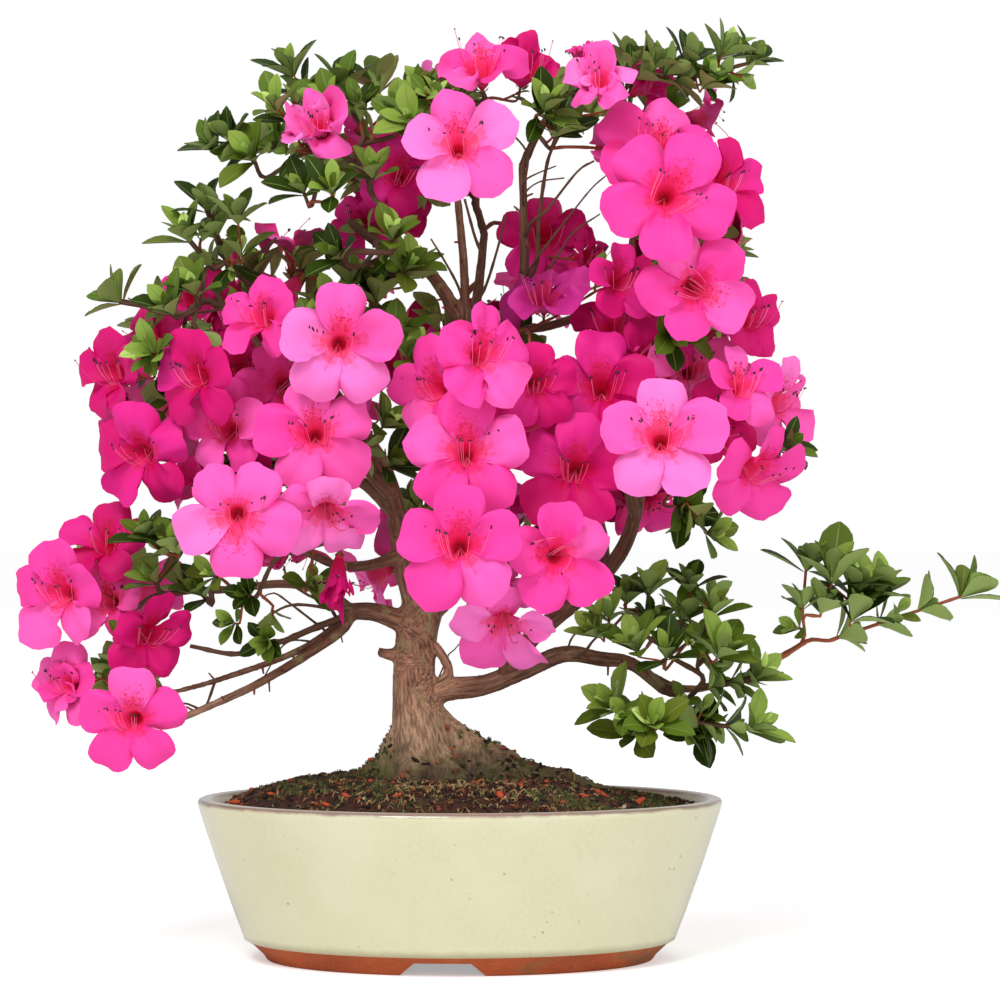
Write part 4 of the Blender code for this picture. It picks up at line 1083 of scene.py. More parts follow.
# %% [markdown]
# Crumbs of peat break up the mound's skin, and a few bits of red bark lie on it in plain view.
# Each is a small ball, squashed and dented at random.

# %% The litter
# Bits of red bark in plain view: across and depth
BARK_SPOTS = (
    (-42, -34), (-72, -38), (-54, -56), (9, -40), (70, -24), (-110, -16), (30, -46), (-20, 44), (50, 40),
    (-92, -30), (-30, -62), (-16, -38), (44, -34), (88, -30), (60, -48), (20, -62), (-104, 4), (-64, -60),
)
CRUMB_COUNT = 1500
CRUMB_HALF = (118, 80)
# A chip and a crumb: cuts of its ball, sizes in millimetres, and how long it may be
CHIP_FORM, CRUMB_FORM = (2, (1.7, 2.6), (1.5, 2.2)), (1, (0.6, 2.1), (0.9, 1.7))
RED_SHARE = 0.02  # of the crumbs
# Slots to choose from, for one crumb in nine and for the rest
PALE_CRUMBS, CRUMBS = (1, 3, 3, 3, 4, 4, 2), (1, 3, 3, 4)


def drop_litter():
    dice = random.Random("litter")
    balls = {row: ball(row[0]) for row in (CHIP_FORM, CRUMB_FORM)}
    batch = Batch()
    spots = list(BARK_SPOTS)
    spots += [tuple(dice.uniform(-half, half) for half in CRUMB_HALF) for _ in range(CRUMB_COUNT)]
    for k, (x, y) in enumerate(spots):
        x, y = x * MM, y * MM
        if wall_share(x, y) > NEAR_WALL:
            continue
        is_chip = k < len(BARK_SPOTS)
        form = CHIP_FORM if is_chip else CRUMB_FORM
        points, faces = balls[form]
        size = dice.uniform(*form[1]) * MM
        squash = np.array([dice.uniform(*form[2]), dice.uniform(0.6, 0.95), dice.uniform(0.45, 0.7)])
        dents = [1 + 0.2 * noise.noise(Vector(p) * 1.7 + Vector((k, 0, 0))) for p in points]
        points = points * squash * np.array(dents)[:, None]
        facing = tilted_sky(dice, 0.4)
        across = at_turn(EAST, NORTH, any_turn(dice))
        is_red = is_chip or dice.random() < RED_SHARE
        slot = 0 if is_red else dice.choice(CRUMBS if k % 9 else PALE_CRUMBS)
        batch.add(set_at(points, on_the_soil(x, y, -0.2 * size), facing, across, size), faces, slot)
    return batch.mesh()


LITTER = [
    plain("red_bark", (186, 72, 34), 0.8),
    plain("bark_bit", (136, 68, 40), 0.9),
    plain("pale_granule", (182, 168, 138), 0.85),
    plain("peat_crumb", (32, 18, 12), 0.95),
    plain("brown_crumb", (94, 50, 30), 0.95),
]
piece("soil_litter", drop_litter(), LITTER, "peat")

# %% [markdown]
# ## Where blooms and shoots grow
# Each mass of foliage has a row for every bloom and shoot that the photograph shows, measured on
# the upright plane through the pot's middle. A depth then moves it along the line of sight, so the
# front view stays true while the crown gets its real depth. The sides that the photograph hides
# are filled by the golden angle, which spreads points evenly, as the solids were grown too.

# %% The rows of each mass
# Masses of foliage: the limb each grows from, its blooms, its shoots, and what fills its
# hidden sides.
# A bloom: across, up, depth, width, then degrees of turn to the right, tilt up and roll.
# A shoot: across and up where it leaves, across and up at its tip, depth, leaf whorls.
# A fill: middle of the mass (x, y, z), its half sizes, blooms, whorls.
MASSES = {
    "foliage_top_left": (
        "bough_top_left",
        (
            (-71, 415, -50, 54, -20, 20, 0), (-32, 391, -8, 50, -10, 0, 20),
            (-50, 366, 12, 44, -20, -10, 40),
        ),
        (
            (-72, 424, -88, 457, -28, 2), (-80, 414, -97, 438, -54, 2), (-92, 404, -134, 415, -34, 2),
            (-96, 402, -110, 410, -44, 1), (-56, 430, -60, 450, -18, 2), (-40, 430, -42, 452, 8, 2),
            (-52, 424, -50, 438, -40, 1), (-34, 420, -30, 434, -36, 1), (-66, 380, -84, 394, -66, 1),
            (-60, 378, -66, 394, -84, 1), (-44, 356, -68, 358, -56, 1), (-34, 352, -34, 372, -66, 1),
            (-40, 384, -46, 404, -52, 1), (-36, 350, -20, 352, -44, 1), (-80, 424, -74, 442, -20, 1),
            (-60, 424, -68, 440, -44, 1), (-92, 402, -124, 421, -30, 1),
        ),
        ((-72, 14, 406), (48, 30, 36), 1, 3),
    ),
    "foliage_top": (
        "bough_top",
        ((10, 446, -22, 60, -5, 40, 0), (0, 406, -78, 62, 5, 8, -10), (34, 444, 6, 50, 20, 35, 0)),
        ((-14, 430, -22, 447, -26, 2), (-10, 424, -12, 442, -48, 2), (-16, 418, -30, 428, -56, 1)),
        ((-8, 22, 428), (30, 30, 30), 1, 2),
    ),
    "foliage_top_right": (
        "bough_top_right",
        (
            (70, 438, -48, 50, -10, 35, 0), (60, 449, 34, 30, 10, 60, 0), (92, 436, 10, 42, 40, 20, 0),
            (78, 409, -20, 44, -50, 10, 0),
        ),
        (
            (38, 420, 45, 437, -42, 2), (42, 412, 54, 424, -34, 1), (44, 426, 58, 445, -8, 2),
            (76, 436, 88, 461, 6, 2), (84, 436, 103, 460, -18, 2), (92, 436, 122, 461, -16, 2),
            (96, 430, 132, 448, -24, 1), (92, 434, 156, 459, -12, 3), (104, 440, 140, 464, -14, 1),
        ),
        ((92, 30, 430), (44, 26, 26), 1, 1),
    ),
    "foliage_right_upper": (
        "bough_right_upper",
        (
            (98, 405, -40, 64, 5, 15, 20), (103, 381, -82, 68, 0, 0, 36), (133, 386, -36, 54, 45, 10, 0),
            (117, 336, -72, 60, 5, -5, 120),
        ),
        ((100, 330, 110, 312, -58, 1), (98, 326, 120, 322, -50, 1)),
        ((112, 20, 372), (34, 34, 38), 2, 2),
    ),
    "foliage_right": (
        "bough_right",
        (
            (145, 319, -34, 46, 45, 10, 0), (115, 294, -28, 52, 10, 10, 0),
            (141, 286, -64, 48, 30, 20, 0), (160, 277, -18, 54, 60, 0, 0),
            (148, 243, -58, 62, 40, -30, 0), (128, 268, -30, 48, 0, 0, 60),
        ),
        ((150, 262, 172, 262, -34, 2), (107, 236, 137, 212, -30, 2), (108, 240, 118, 222, -24, 1)),
        ((128, 26, 270), (42, 34, 46), 2, 2),
    ),
    "foliage_front_right": (
        "bough_front_right",
        (
            (101, 259, -98, 68, 0, 5, 0), (70, 284, -44, 60, -5, 5, 0), (57, 243, -56, 62, -5, -5, 10),
            (77, 314, -20, 48, -10, 25, 0), (40, 262, -22, 54, 0, 0, 90), (94, 296, -30, 52, 10, 0, 60),
        ),
        (), None,
    ),
    "foliage_front": (
        "bough_front",
        (
            (-12, 284, -70, 58, -35, 0, -10), (12, 301, -98, 58, 35, 5, 0), (3, 252, -78, 66, 0, 5, 0),
            (30, 270, -44, 54, 10, 0, 40),
        ),
        (), None,
    ),
    "foliage_front_low": (
        "bough_front_low",
        ((0, 205, -106, 68, 0, 0, 0), (50, 201, -84, 60, 15, 0, -80), (22, 166, -76, 58, 0, -45, 0)),
        (), None,
    ),
    "foliage_inner": (
        "bough_inner",
        ((42, 331, -26, 52, 0, 40, 0), (80, 338, -38, 44, 30, 10, 0), (38, 286, -62, 46, 10, -10, 0)),
        ((24, 318, 36, 306, -14, 1),),
        None,
    ),
    "foliage_left_inner": (
        "leader_left", (),
        (
            (-60, 312, -66, 338, -34, 1), (-40, 300, -30, 324, -30, 1), (-30, 300, -24, 312, -46, 1),
            (-46, 308, -40, 344, -24, 2), (-36, 330, -20, 357, -20, 1), (-56, 300, -80, 328, -44, 2),
            (-52, 322, -56, 352, -30, 1),
        ),
        ((-52, 26, 316), (34, 26, 26), 1, 1),
    ),
    "foliage_outer_left": (
        "bough_outer_left",
        (
            (-135, 331, 30, 48, -10, 20, 0), (-173, 291, -16, 56, -50, 0, 0),
            (-132, 290, -52, 56, -35, -5, 0), (-160, 251, -22, 58, -30, -20, 0),
            (-166, 272, 6, 46, -50, 0, 0),
        ),
        (
            (-112, 336, -130, 390, -16, 3), (-108, 336, -112, 384, -34, 2),
            (-114, 334, -142, 374, -24, 2), (-122, 320, -182, 339, -12, 2),
            (-122, 326, -138, 345, -46, 1), (-128, 320, -152, 334, -52, 1),
            (-138, 312, -162, 308, -56, 1), (-146, 316, -168, 306, -44, 1),
            (-138, 306, -152, 300, -48, 1),
        ),
        ((-142, 26, 300), (34, 30, 40), 2, 1),
    ),
    "foliage_front_left": (
        "bough_front_left",
        (
            (-99, 320, -62, 50, -30, 10, 0), (-60, 306, -86, 64, 5, -8, 0),
            (-72, 261, -76, 62, 5, 0, -10), (-117, 264, -56, 54, -20, 0, 0),
            (-88, 286, -34, 54, 0, 0, 50), (-110, 292, -20, 50, -20, 0, 0),
        ),
        ((-50, 268, -30, 276, -36, 1), (-48, 256, -26, 252, -40, 1)),
        None,
    ),
    "foliage_front_left_low": (
        "bough_upper_left",
        (
            (-112, 221, -98, 62, 0, -5, 180), (-67, 221, -88, 58, 10, -40, 0),
            (-61, 192, -50, 42, -10, -74, 0),
        ),
        (
            (-98, 196, -112, 184, -60, 1), (-92, 186, -101, 154, -52, 2), (-104, 204, -134, 196, -50, 1),
            (-98, 190, -123, 168, -56, 1), (-80, 196, -68, 190, -40, 1),
        ),
        None,
    ),
    "foliage_left": (
        "bough_left_high",
        (
            (-178, 207, -12, 50, -20, 25, 0), (-200, 181, -40, 62, -30, -5, 0),
            (-176, 178, -8, 48, -30, 10, 0),
        ),
        (
            (-140, 196, -162, 222, -44, 2), (-124, 186, -136, 190, -28, 1),
            (-132, 194, -146, 216, -50, 1), (-138, 184, -160, 200, -34, 1),
        ),
        ((-172, 28, 192), (28, 24, 24), 1, 1),
    ),
    "foliage_left_middle": (
        "bough_left_middle",
        ((-155, 161, -42, 54, 35, -15, 0),),
        ((-150, 138, -175, 141, -2, 1),),
        ((-166, 26, 142), (24, 22, 16), 0, 1),
    ),
    "foliage_left_low": (
        "bough_left_low",
        ((-196, 136, -25, 50, -40, 0, 0), (-164, 118, -60, 57, -5, -8, 0)),
        (), None,
    ),
    "foliage_low_right": (
        "bough_low_right", (),
        (
            (92, 150, 95, 198, -14, 2), (112, 146, 130, 186, -32, 2), (104, 150, 114, 184, -22, 2),
            (114, 134, 158, 150, -26, 3), (112, 140, 136, 164, -40, 1), (92, 126, 70, 134, -42, 1),
            (100, 120, 158, 122, -34, 4), (84, 160, 110, 176, 24, 1), (92, 120, 80, 116, -34, 1),
            (96, 124, 96, 122, -62, 1), (96, 150, 84, 166, -44, 1), (102, 146, 104, 162, -48, 1),
            (120, 120, 118, 114, -22, 1), (120, 144, 126, 168, -20, 1), (80, 158, 72, 184, -26, 1),
            (82, 156, 84, 194, -10, 1), (112, 156, 116, 200, -20, 1), (84, 158, 62, 172, -36, 1),
        ),
        None,
    ),
    "foliage_far_right": (
        "bough_far_right", (),
        (
            (170, 157, 174, 210, -6, 2), (176, 160, 189, 203, -10, 2), (183, 162, 202, 197, -2, 1),
            (186, 160, 202, 184, -10, 1), (196, 164, 214, 196, 2, 1), (170, 154, 262, 192, 4, 4),
        ),
        None,
    ),
    "foliage_back_low": ("bough_back_low", (), (), ((2, 96, 216), (58, 36, 36), 4, 6)),
    "foliage_back_left": ("bough_back_left", (), (), ((-104, 84, 246), (46, 40, 42), 4, 6)),
    "foliage_back_right": ("bough_back_right", (), (), ((78, 98, 256), (44, 38, 30), 4, 6)),
    "foliage_back_upper": ("bough_back_upper", (), (), ((0, 104, 306), (52, 40, 42), 4, 6)),
    "foliage_back_top": (
        "bough_back_top",
        ((42, 359, 36, 56, 0, 5, 0), (64, 350, 30, 40, 60, 0, 0)),
        (), ((-22, 72, 402), (46, 32, 34), 1, 5),
    ),
    "foliage_back_left_high": ("bough_back_left_high", (), (), ((-92, 76, 334), (46, 38, 40), 4, 6)),
    "foliage_back_right_high": ("bough_back_right_high", (), (), ((112, 78, 346), (46, 36, 44), 4, 6)),
}

print("masses:", len(MASSES))

# %% [markdown]
# Each row becomes a growth, which knows where it sits, how it faces and along which line it may
# still move. The fills become growths too, in two layers, so that no hollow shows.

# %% From rows to growths
CROWN_MIDDLE = Vector((0, 10, 285)) * MM
SEED = 7
BLOOM_DEPTH = 0.40  # from a bloom's foot to its face, as a share of its width
BLOOM_MIDDLE = 0.7  # where the middle that the photograph shows lies on that way
LEAF_LENGTH = 23 * MM
WHORL_LIFT = 0.68  # how far a shoot's leaves reach past it, as a share of a leaf
SHOOT_FOOT_DEPTH = 0.6  # a shoot leaves at this share of its tip's depth
SHOOT_LIFT = Vector((0, -0.3, 0.6))  # a shoot's tip turns up and to the light
HIDDEN_LIFT = Vector((0, 0, 0.25))
HIDDEN_BLOOM_WIDTH = 54 * MM
FILL_SPAN = 1.25  # how far round from straight out a fill runs, as 1 less a cosine
FILL_REACH = (0.78, 0.98)
FILL_BEARING = Vector((0, 0.7, 0.15))  # a fill looks out and to the back
# The second layer: blooms and whorls at the back and elsewhere, and how far out it lies
INNER_BACK, INNER_REST, INNER_REACH = (4, 13), (0, 4), (0.5, 0.95)
GOLDEN_TURN = math.radians(137.5)


class Growth:
    """A bloom or a leafy shoot: the points where its leaf whorls or its bloom sit, the way its tip
    faces, the line along which it may move, and for a bloom its width and roll."""

    def __init__(self, points, facing, along, bloom=None, hidden=False):
        self.points, self.facing, self.along = points, facing, along
        self.bloom, self.hidden = bloom, hidden


def seen(across, up, depth):
    """The real point that shows at (across, up) on the front plane and lies at this depth."""
    on_plane = Vector((across, 0, up)) * MM
    return STANDPOINT + (on_plane - STANDPOINT) * ((depth * MM - STANDPOINT.y) / -STANDPOINT.y)


def sight(point):
    return (STANDPOINT - point).normalized()


def lean(turn, tilt):
    """The way a bloom faces: turn 0 looks at the front, turn 90 to the right, tilt 90 up."""
    turn, tilt = math.radians(turn), math.radians(tilt)
    return Vector((math.sin(turn) * math.cos(tilt), -math.cos(turn) * math.cos(tilt), math.sin(tilt)))


def hidden_fill(name, middle, half, counts, reaches, layer=""):
    """Blooms and whorls over the outer part of a mass's space, spread by the golden angle."""
    blooms, total = counts[0], sum(counts)
    middle, half = Vector(middle) * MM, Vector(half) * MM
    dice = random.Random(f"{name}{SEED}{layer}")
    outward = ((middle - CROWN_MIDDLE).normalized() + FILL_BEARING).normalized()
    up, side = across_of(outward, SKY)
    for k in range(total):
        cosine = 1 - FILL_SPAN * (k + 0.5) / total
        sine = math.sqrt(max(0.0, 1 - cosine**2))
        turn = k * GOLDEN_TURN + dice.uniform(-0.3, 0.3)
        way = outward * cosine + at_turn(up, side, turn) * sine
        reach = dice.uniform(*reaches)
        point = middle + Vector([w * h * reach for w, h in zip(way, half)])
        is_bloom = (k * blooms) // total != ((k + 1) * blooms) // total
        yield is_bloom, point, way, any_turn(dice)


def shown_growths(name):
    blooms, shoots = MASSES[name][1:3]
    for across, up, depth, width, turn, tilt, roll in blooms:
        facing = lean(turn, tilt)
        foot = seen(across, up, depth) - facing * width * MM * BLOOM_DEPTH * BLOOM_MIDDLE
        yield Growth([foot], facing, sight(foot), (width * MM, math.radians(roll)))
    for across, up, tip_across, tip_up, depth, whorls in shoots:
        leaves, tip = seen(across, up, depth * SHOOT_FOOT_DEPTH), seen(tip_across, tip_up, depth)
        facing = ((tip - leaves).normalized() + SHOOT_LIFT).normalized()
        tip -= facing * LEAF_LENGTH * WHORL_LIFT
        points = [leaves.lerp(tip, k / whorls) for k in range(1, whorls + 1)]
        yield Growth(points, facing, sight(tip))


def hidden_growths(name):
    if not MASSES[name][3]:
        return
    middle, half, *counts = MASSES[name][3]
    inner = INNER_BACK if name.startswith("foliage_back") else INNER_REST
    rows = [*hidden_fill(name, middle, half, counts, FILL_REACH)]
    rows += hidden_fill(name, middle, half, inner, INNER_REACH, inner[1])
    for is_bloom, point, way, roll in rows:
        facing = (way + HIDDEN_LIFT).normalized()
        if is_bloom:
            foot, bloom = point - facing * HIDDEN_BLOOM_WIDTH * BLOOM_DEPTH, (HIDDEN_BLOOM_WIDTH, roll)
        else:
            foot, bloom = point - facing * LEAF_LENGTH * WHORL_LIFT, None
        yield Growth([foot], facing, way, bloom, hidden=True)


GROWTHS = {name: [*shown_growths(name), *hidden_growths(name)] for name in MASSES}
every = [g for rows in GROWTHS.values() for g in rows]
print("blooms:", sum(bool(g.bloom) for g in every), "shoots:", sum(not g.bloom for g in every))

# %% [markdown]
# ## One bloom
# Five lobes grow out of one short tube. Each is broad, rounded and slightly notched, and overlaps
# the next. The upper lobe carries a spray of crimson specks, and the stamens leave the tube in a
# bunch and curve up. A petal here is a grid whose points are moved onto that form. Small random
# changes in cup, tilt and ripple make every petal its own.

# %% A petal's form
PETAL_GRID = flat_grid(14, 8)
# Its points lie closer together towards the sides, where the edge turns
PETAL_GRID[0][:] = 0.55 * PETAL_GRID[0] + 0.45 * np.sin(PETAL_GRID[0] * math.pi / 2)
TUBE_SHARE = 0.23  # of a petal's rows
THROAT_SHARE = 0.12  # of them, the deep red ones
LOBES = 5
LOBE_DEGREES = 72
LOBE_STEP = 2 * math.pi / LOBES
HALF_LOBE = 40  # degrees from a petal's middle line to its side
OVERLAP = 0.05  # one edge of each petal lies over its neighbour and the other under
RIB_HALF = 0.2  # half the width of the groove along the middle, and of the notch at its end


class Petal:
    """The random form of one petal, in half widths of its bloom."""

    def __init__(self, dice, open_share=1.0, crumple=1.0):
        self.length = dice.uniform(0.9, 1.04)
        self.notch = dice.uniform(0.0, 0.06)
        self.twist = dice.gauss(0, 0.07) * crumple
        self.cup = dice.uniform(-0.24, 0.12)
        self.tilt = dice.uniform(-0.26, 0.12) * crumple
        self.wave = dice.uniform(0.05, 0.11) * crumple
        self.fold = dice.uniform(0.010, 0.024) * crumple
        self.slim = dice.uniform(-0.04, 0.08)
        self.phase = any_turn(dice)
        self.open = open_share

    def sheet(self, u, v):
        """The petal's places, with x along its middle line and z along the bloom's axis."""
        tube = np.clip(v / TUBE_SHARE, 0, 1)
        lip = np.clip((v - TUBE_SHARE) / (1 - TUBE_SHARE), 0, 1)
        side = np.abs(u)
        rib = np.exp(-((u / RIB_HALF) ** 2))
        end = 1 - 0.30 * side**2.2 - 0.12 * side**8 - self.notch * rib
        end += 0.024 * np.sin(6 * u + self.phase) + 0.012 * np.sin(13 * u - self.phase)
        radius = 0.02 + 0.15 * tube**0.8 + (end * self.length - 0.17) * lip * self.open
        turn = u * math.radians(HALF_LOBE) * (1 - self.slim * lip**1.5)
        height = 0.42 * tube**1.2 + 0.30 * (1 - (1 - lip) ** 2) - 0.08 * lip**4
        height = height + (1 - self.open) * 0.9 * lip
        height += (self.twist + OVERLAP) * u * lip + self.cup * lip * u**2 + self.tilt * lip**2
        height += self.wave * lip * side**1.5 * np.sin(8 * lip + self.phase + 1.7 * np.sign(u))
        height += 0.5 * self.wave * lip**2 * np.sin(5 * u + self.phase)
        height += self.fold * lip * np.sin(9 * u + 2 * self.phase)
        height -= 0.06 * lip * (1.15 - lip) * rib
        return np.stack((radius * np.cos(turn), radius * np.sin(turn), height), axis=-1)


def turned(points, angle):
    c, s = math.cos(angle), math.sin(angle)
    return points @ np.array(((c, s, 0), (-s, c, 0), (0, 0, 1)))


print("faces in a petal:", len(PETAL_GRID[2]))

# %% [markdown]
# A petal is palest at the edge and flushed red towards the throat, in rays that run out farthest
# along its middle line and on the upper lobe. Each face takes one of the steps of its petal's pink.

# %% The colours of the blossom
# Five pinks, lit and shaded copies of one petal pink, from the deepest with painted shade to the
# palest with painted light
PINKS = ((212, 8, 112), (228, 34, 140), (244, 62, 161), (251, 91, 182), (253, 120, 202))
SHADED_PINK, _, HALF_LIT_PINK, LIT_PINK, _ = range(len(PINKS))
# A bloom deep in the crown has a darker pink of its own: painted shade
SHADOWED_BLOOM, SHADOWED_BLOOM_PINK = len(PINKS), (202, 44, 142)
THROAT_SHARES = (0.97, 0.62, 0.6)  # a throat's red, green and blue as shares of its petal's pink
FLUSH_SHARES = (0.0, 0.16, 0.34, 0.55, 0.8)  # of the throat's red in each step of a petal's colour
FLUSH_LIMITS = (0.46, 0.41, 0.36, 0.31)  # how far out the red steps run, as shares of the rows
RAYS = (23, 0.045)  # how closely the rays stand, and how far they run
FLUSH_REACH = (0.14, 0.06, 0.0, 0.0, 0.06)  # how much farther out the red runs on each lobe


def petal_slots(family, lobe, shift, phase):
    """Each face's colour: the petal's pink with its painted light and shade outside, and four steps
    towards the red throat.
    """
    u, v, faces = PETAL_GRID
    # A petal may take the next paler pink: painted light that differs from petal to petal
    own = family if family == SHADOWED_BLOOM else min(family + shift, len(PINKS) - 1)
    slots = []
    for face in faces:
        side, out = u[face].mean(), v[face].mean()
        ray = RAYS[1] * math.sin(RAYS[0] * side + phase)
        flush = out + 0.16 * abs(side) + ray - FLUSH_REACH[lobe]
        step = sum(flush < limit for limit in FLUSH_LIMITS)
        slots.append(THROAT if out < THROAT_SHARE else own * len(FLUSH_SHARES) + step)
    return slots


def towards_throat(shade, share):
    return tuple(own * (1 - (1 - part) * share) for own, part in zip(shade, THROAT_SHARES))


PETAL_SHEEN = {"roughness": 0.6, "specular_ior_level": 0.2}
PETALS = [
    plain(f"petal_{k + 1}_step_{step + 1}", towards_throat(shade, share), **PETAL_SHEEN)
    for k, shade in enumerate((*PINKS, SHADOWED_BLOOM_PINK))
    for step, share in enumerate(FLUSH_SHARES)
]
THROAT, SPECK_RED, CALYX = range(len(PETALS), len(PETALS) + 3)
PETALS += [
    plain("petal_throat", (230, 46, 94), **PETAL_SHEEN),
    plain("petal_speck", (204, 14, 78), **PETAL_SHEEN),
    plain("calyx_green", (134, 116, 58), roughness=0.6),
]
print("finishes:", len(PETALS))

# %% [markdown]
# The specks are small flat discs that lie just over the petal's skin. As geometry they stay crisp
# from close by. Each is set on its petal by reading the petal's form there and just beside it.

# %% The specks
SPECK_COUNT = 80
SPECK_FAN = (22, 58.0)  # degrees from the upper lobe's middle: the spread and the most
SPECK_ROWS = (0.27, 0.48)  # where the specks start along a petal, and over how much of it
SPECK_LIFT = 0.14 * MM
SPECK_LENGTH = 2.0  # in widths
BESIDE = 0.02


def speck_disc():
    bm = bmesh.new()
    bmesh.ops.create_circle(bm, cap_ends=True, segments=5, radius=1)
    return small_form(bm)


SPECK = speck_disc()


def add_specks(batch, petals, bloom, dice):
    """Crimson specks on the upper lobe and on the near halves of the two beside it."""
    spread, most = SPECK_FAN
    for _ in range(SPECK_COUNT):
        off = max(-most, min(most, dice.gauss(0, spread)))
        lobe = round(off / LOBE_DEGREES)
        v = dice.betavariate(1.6, 2.8) * SPECK_ROWS[1] + SPECK_ROWS[0]
        u = (off - LOBE_DEGREES * lobe) / HALF_LOBE
        u, v = np.array([u, u + BESIDE, u]), np.array([v, v, v + BESIDE])
        a, b, c = turned(petals[lobe % LOBES].sheet(u, v), lobe * LOBE_STEP)
        normal = np.cross(c - a, b - a)
        normal /= np.linalg.norm(normal) or 1
        if normal[2] < 0:
            normal = -normal
        size = dice.uniform(0.12, 0.26) * MM / (bloom.width / 2)
        centre = a + normal * SPECK_LIFT / (bloom.width / 2)
        disc = set_at(SPECK[0] * (SPECK_LENGTH, 1, 1), centre, Vector(normal), Vector(c - a), size)
        batch.add(bloom.place(disc), SPECK[1], SPECK_RED)

# %% [markdown]
# The stamens are thin curves that leave the throat in a bunch, and each ends in a dark anther. One
# longer style stands among them. They bend up to the sky, however the bloom is rolled.

# %% The bloom's frame, its stamens and anthers
STAMEN_COUNT = 6
STAMEN_STEPS = 7
STAMEN_FOOT = 0.12  # in half widths of the bloom


class Bloom:
    """A bloom's own frame: its foot, the way it faces, and its upper lobe's way. One that faces
    the sky has its upper lobe to the back."""

    def __init__(self, foot, facing, roll, width):
        self.foot = foot
        self.facing = facing
        self.width = width
        self.upper = at_turn(*across_of(facing, SKY if abs(facing.z) < 0.95 else NORTH), -roll)

    def place(self, points):
        """From half widths in the bloom's own frame to metres round the pot."""
        return set_at(points, self.foot, self.facing, self.upper, self.width / 2)

    def point(self, x, y, z):
        return Vector(self.place(np.array([(x, y, z)]))[0])


def stamen_courses(bloom, dice):
    """Thin curves that leave the throat low, spread, and turn up at their ends."""
    found = []
    up = bloom.upper.dot(SKY)
    rise = np.array((1.0, 0.0)) if abs(up) > 0.3 else np.array((0.7, 0.7))
    rise = rise * (1 if up >= 0 else -1)
    shares = even(STAMEN_STEPS)
    for k in range(STAMEN_COUNT + 1):
        is_style = k == STAMEN_COUNT
        spread = dice.uniform(-0.8, 0.8)
        length = dice.uniform(0.6, 0.95) if not is_style else 1.15
        points = []
        for t in shares:
            low = -0.24 * math.sin(math.pi * t * 0.9) + (0.22 + 0.2 * abs(spread)) * t**2.2
            x = rise[0] * low - rise[1] * spread * t * 0.6
            y = rise[1] * low + rise[0] * spread * t * 0.6
            points.append(bloom.point(x, y, STAMEN_FOOT + length * t * (1 - 0.12 * t)))
        thick = (0.24 if is_style else 0.17) * MM
        radii = [thick * (1.25 - 0.55 * t) for t in shares]
        found.append((points, radii, STYLE if is_style else FILAMENT))
    return found


ANTHER_FORM = ball(1, (0.45 * MM, 0.45 * MM, 1.0 * MM))


def add_anthers(batch, courses, dice):
    points_of_one, faces = ANTHER_FORM
    for points, _, kind in courses:
        way = (points[-1] - points[-2]).normalized()
        tilt = (way + chance_vector(dice, 0.5)).normalized()
        size = 0.8 if kind == STYLE else dice.uniform(0.95, 1.3)
        placed = set_at(points_of_one, points[-1], tilt, way.orthogonal(), size)
        batch.add(placed, faces, STIGMA if kind == STYLE else ANTHER)


FILAMENT, STYLE, ANTHER, STIGMA = range(4)
STAMENS = [
    plain("filament_pink", (250, 112, 164), 0.5),
    plain("style_pink", (226, 58, 118), 0.5),
    plain("anther_purple", (66, 16, 40), 0.7),
    plain("stigma_red", (130, 18, 50), 0.5),
]
print("stamens in a bloom:", STAMEN_COUNT, "and a style")

# %% [markdown]
# Blooms are set down first, in the order of the rows. One that would cut through another moves a
# little along its line of sight, nearer or farther, which the front view hardly shows. Leaves
# come after and keep clear of every petal, so no leaf ever pokes through a bloom.

# %% Petals keep clear of each other
class Crown:
    """The petals that are placed so far, so that what comes later keeps clear of them."""

    def __init__(self):
        self.lows, self.highs, self.trees = np.zeros((0, 3)), np.zeros((0, 3)), []

    def near(self, points):
        low, high = points.min(0), points.max(0)
        return np.flatnonzero(((low <= self.highs) & (high >= self.lows)).all(1))

    def cuts(self, points, faces):
        near = self.near(points)
        if not len(near):
            return False
        tree = BVHTree.FromPolygons(points.tolist(), faces)
        return any(tree.overlap(self.trees[k]) for k in near)

    def keep(self, points, faces):
        self.lows = np.vstack((self.lows, points.min(0)))
        self.highs = np.vstack((self.highs, points.max(0)))
        self.trees.append(BVHTree.FromPolygons(points.tolist(), faces))

# %% [markdown]
# Some blooms look like no other: nearly closed, in painted shade, crumpled, or half double, with a
# second whorl of smaller petals. The others draw their look. Behind each lie five small sepals.

# %% Blooms set down
NUDGES = (0, 4, -4, 8, -8, 12, -12, 16, -16, 20, -20)  # millimetres along a bloom's line
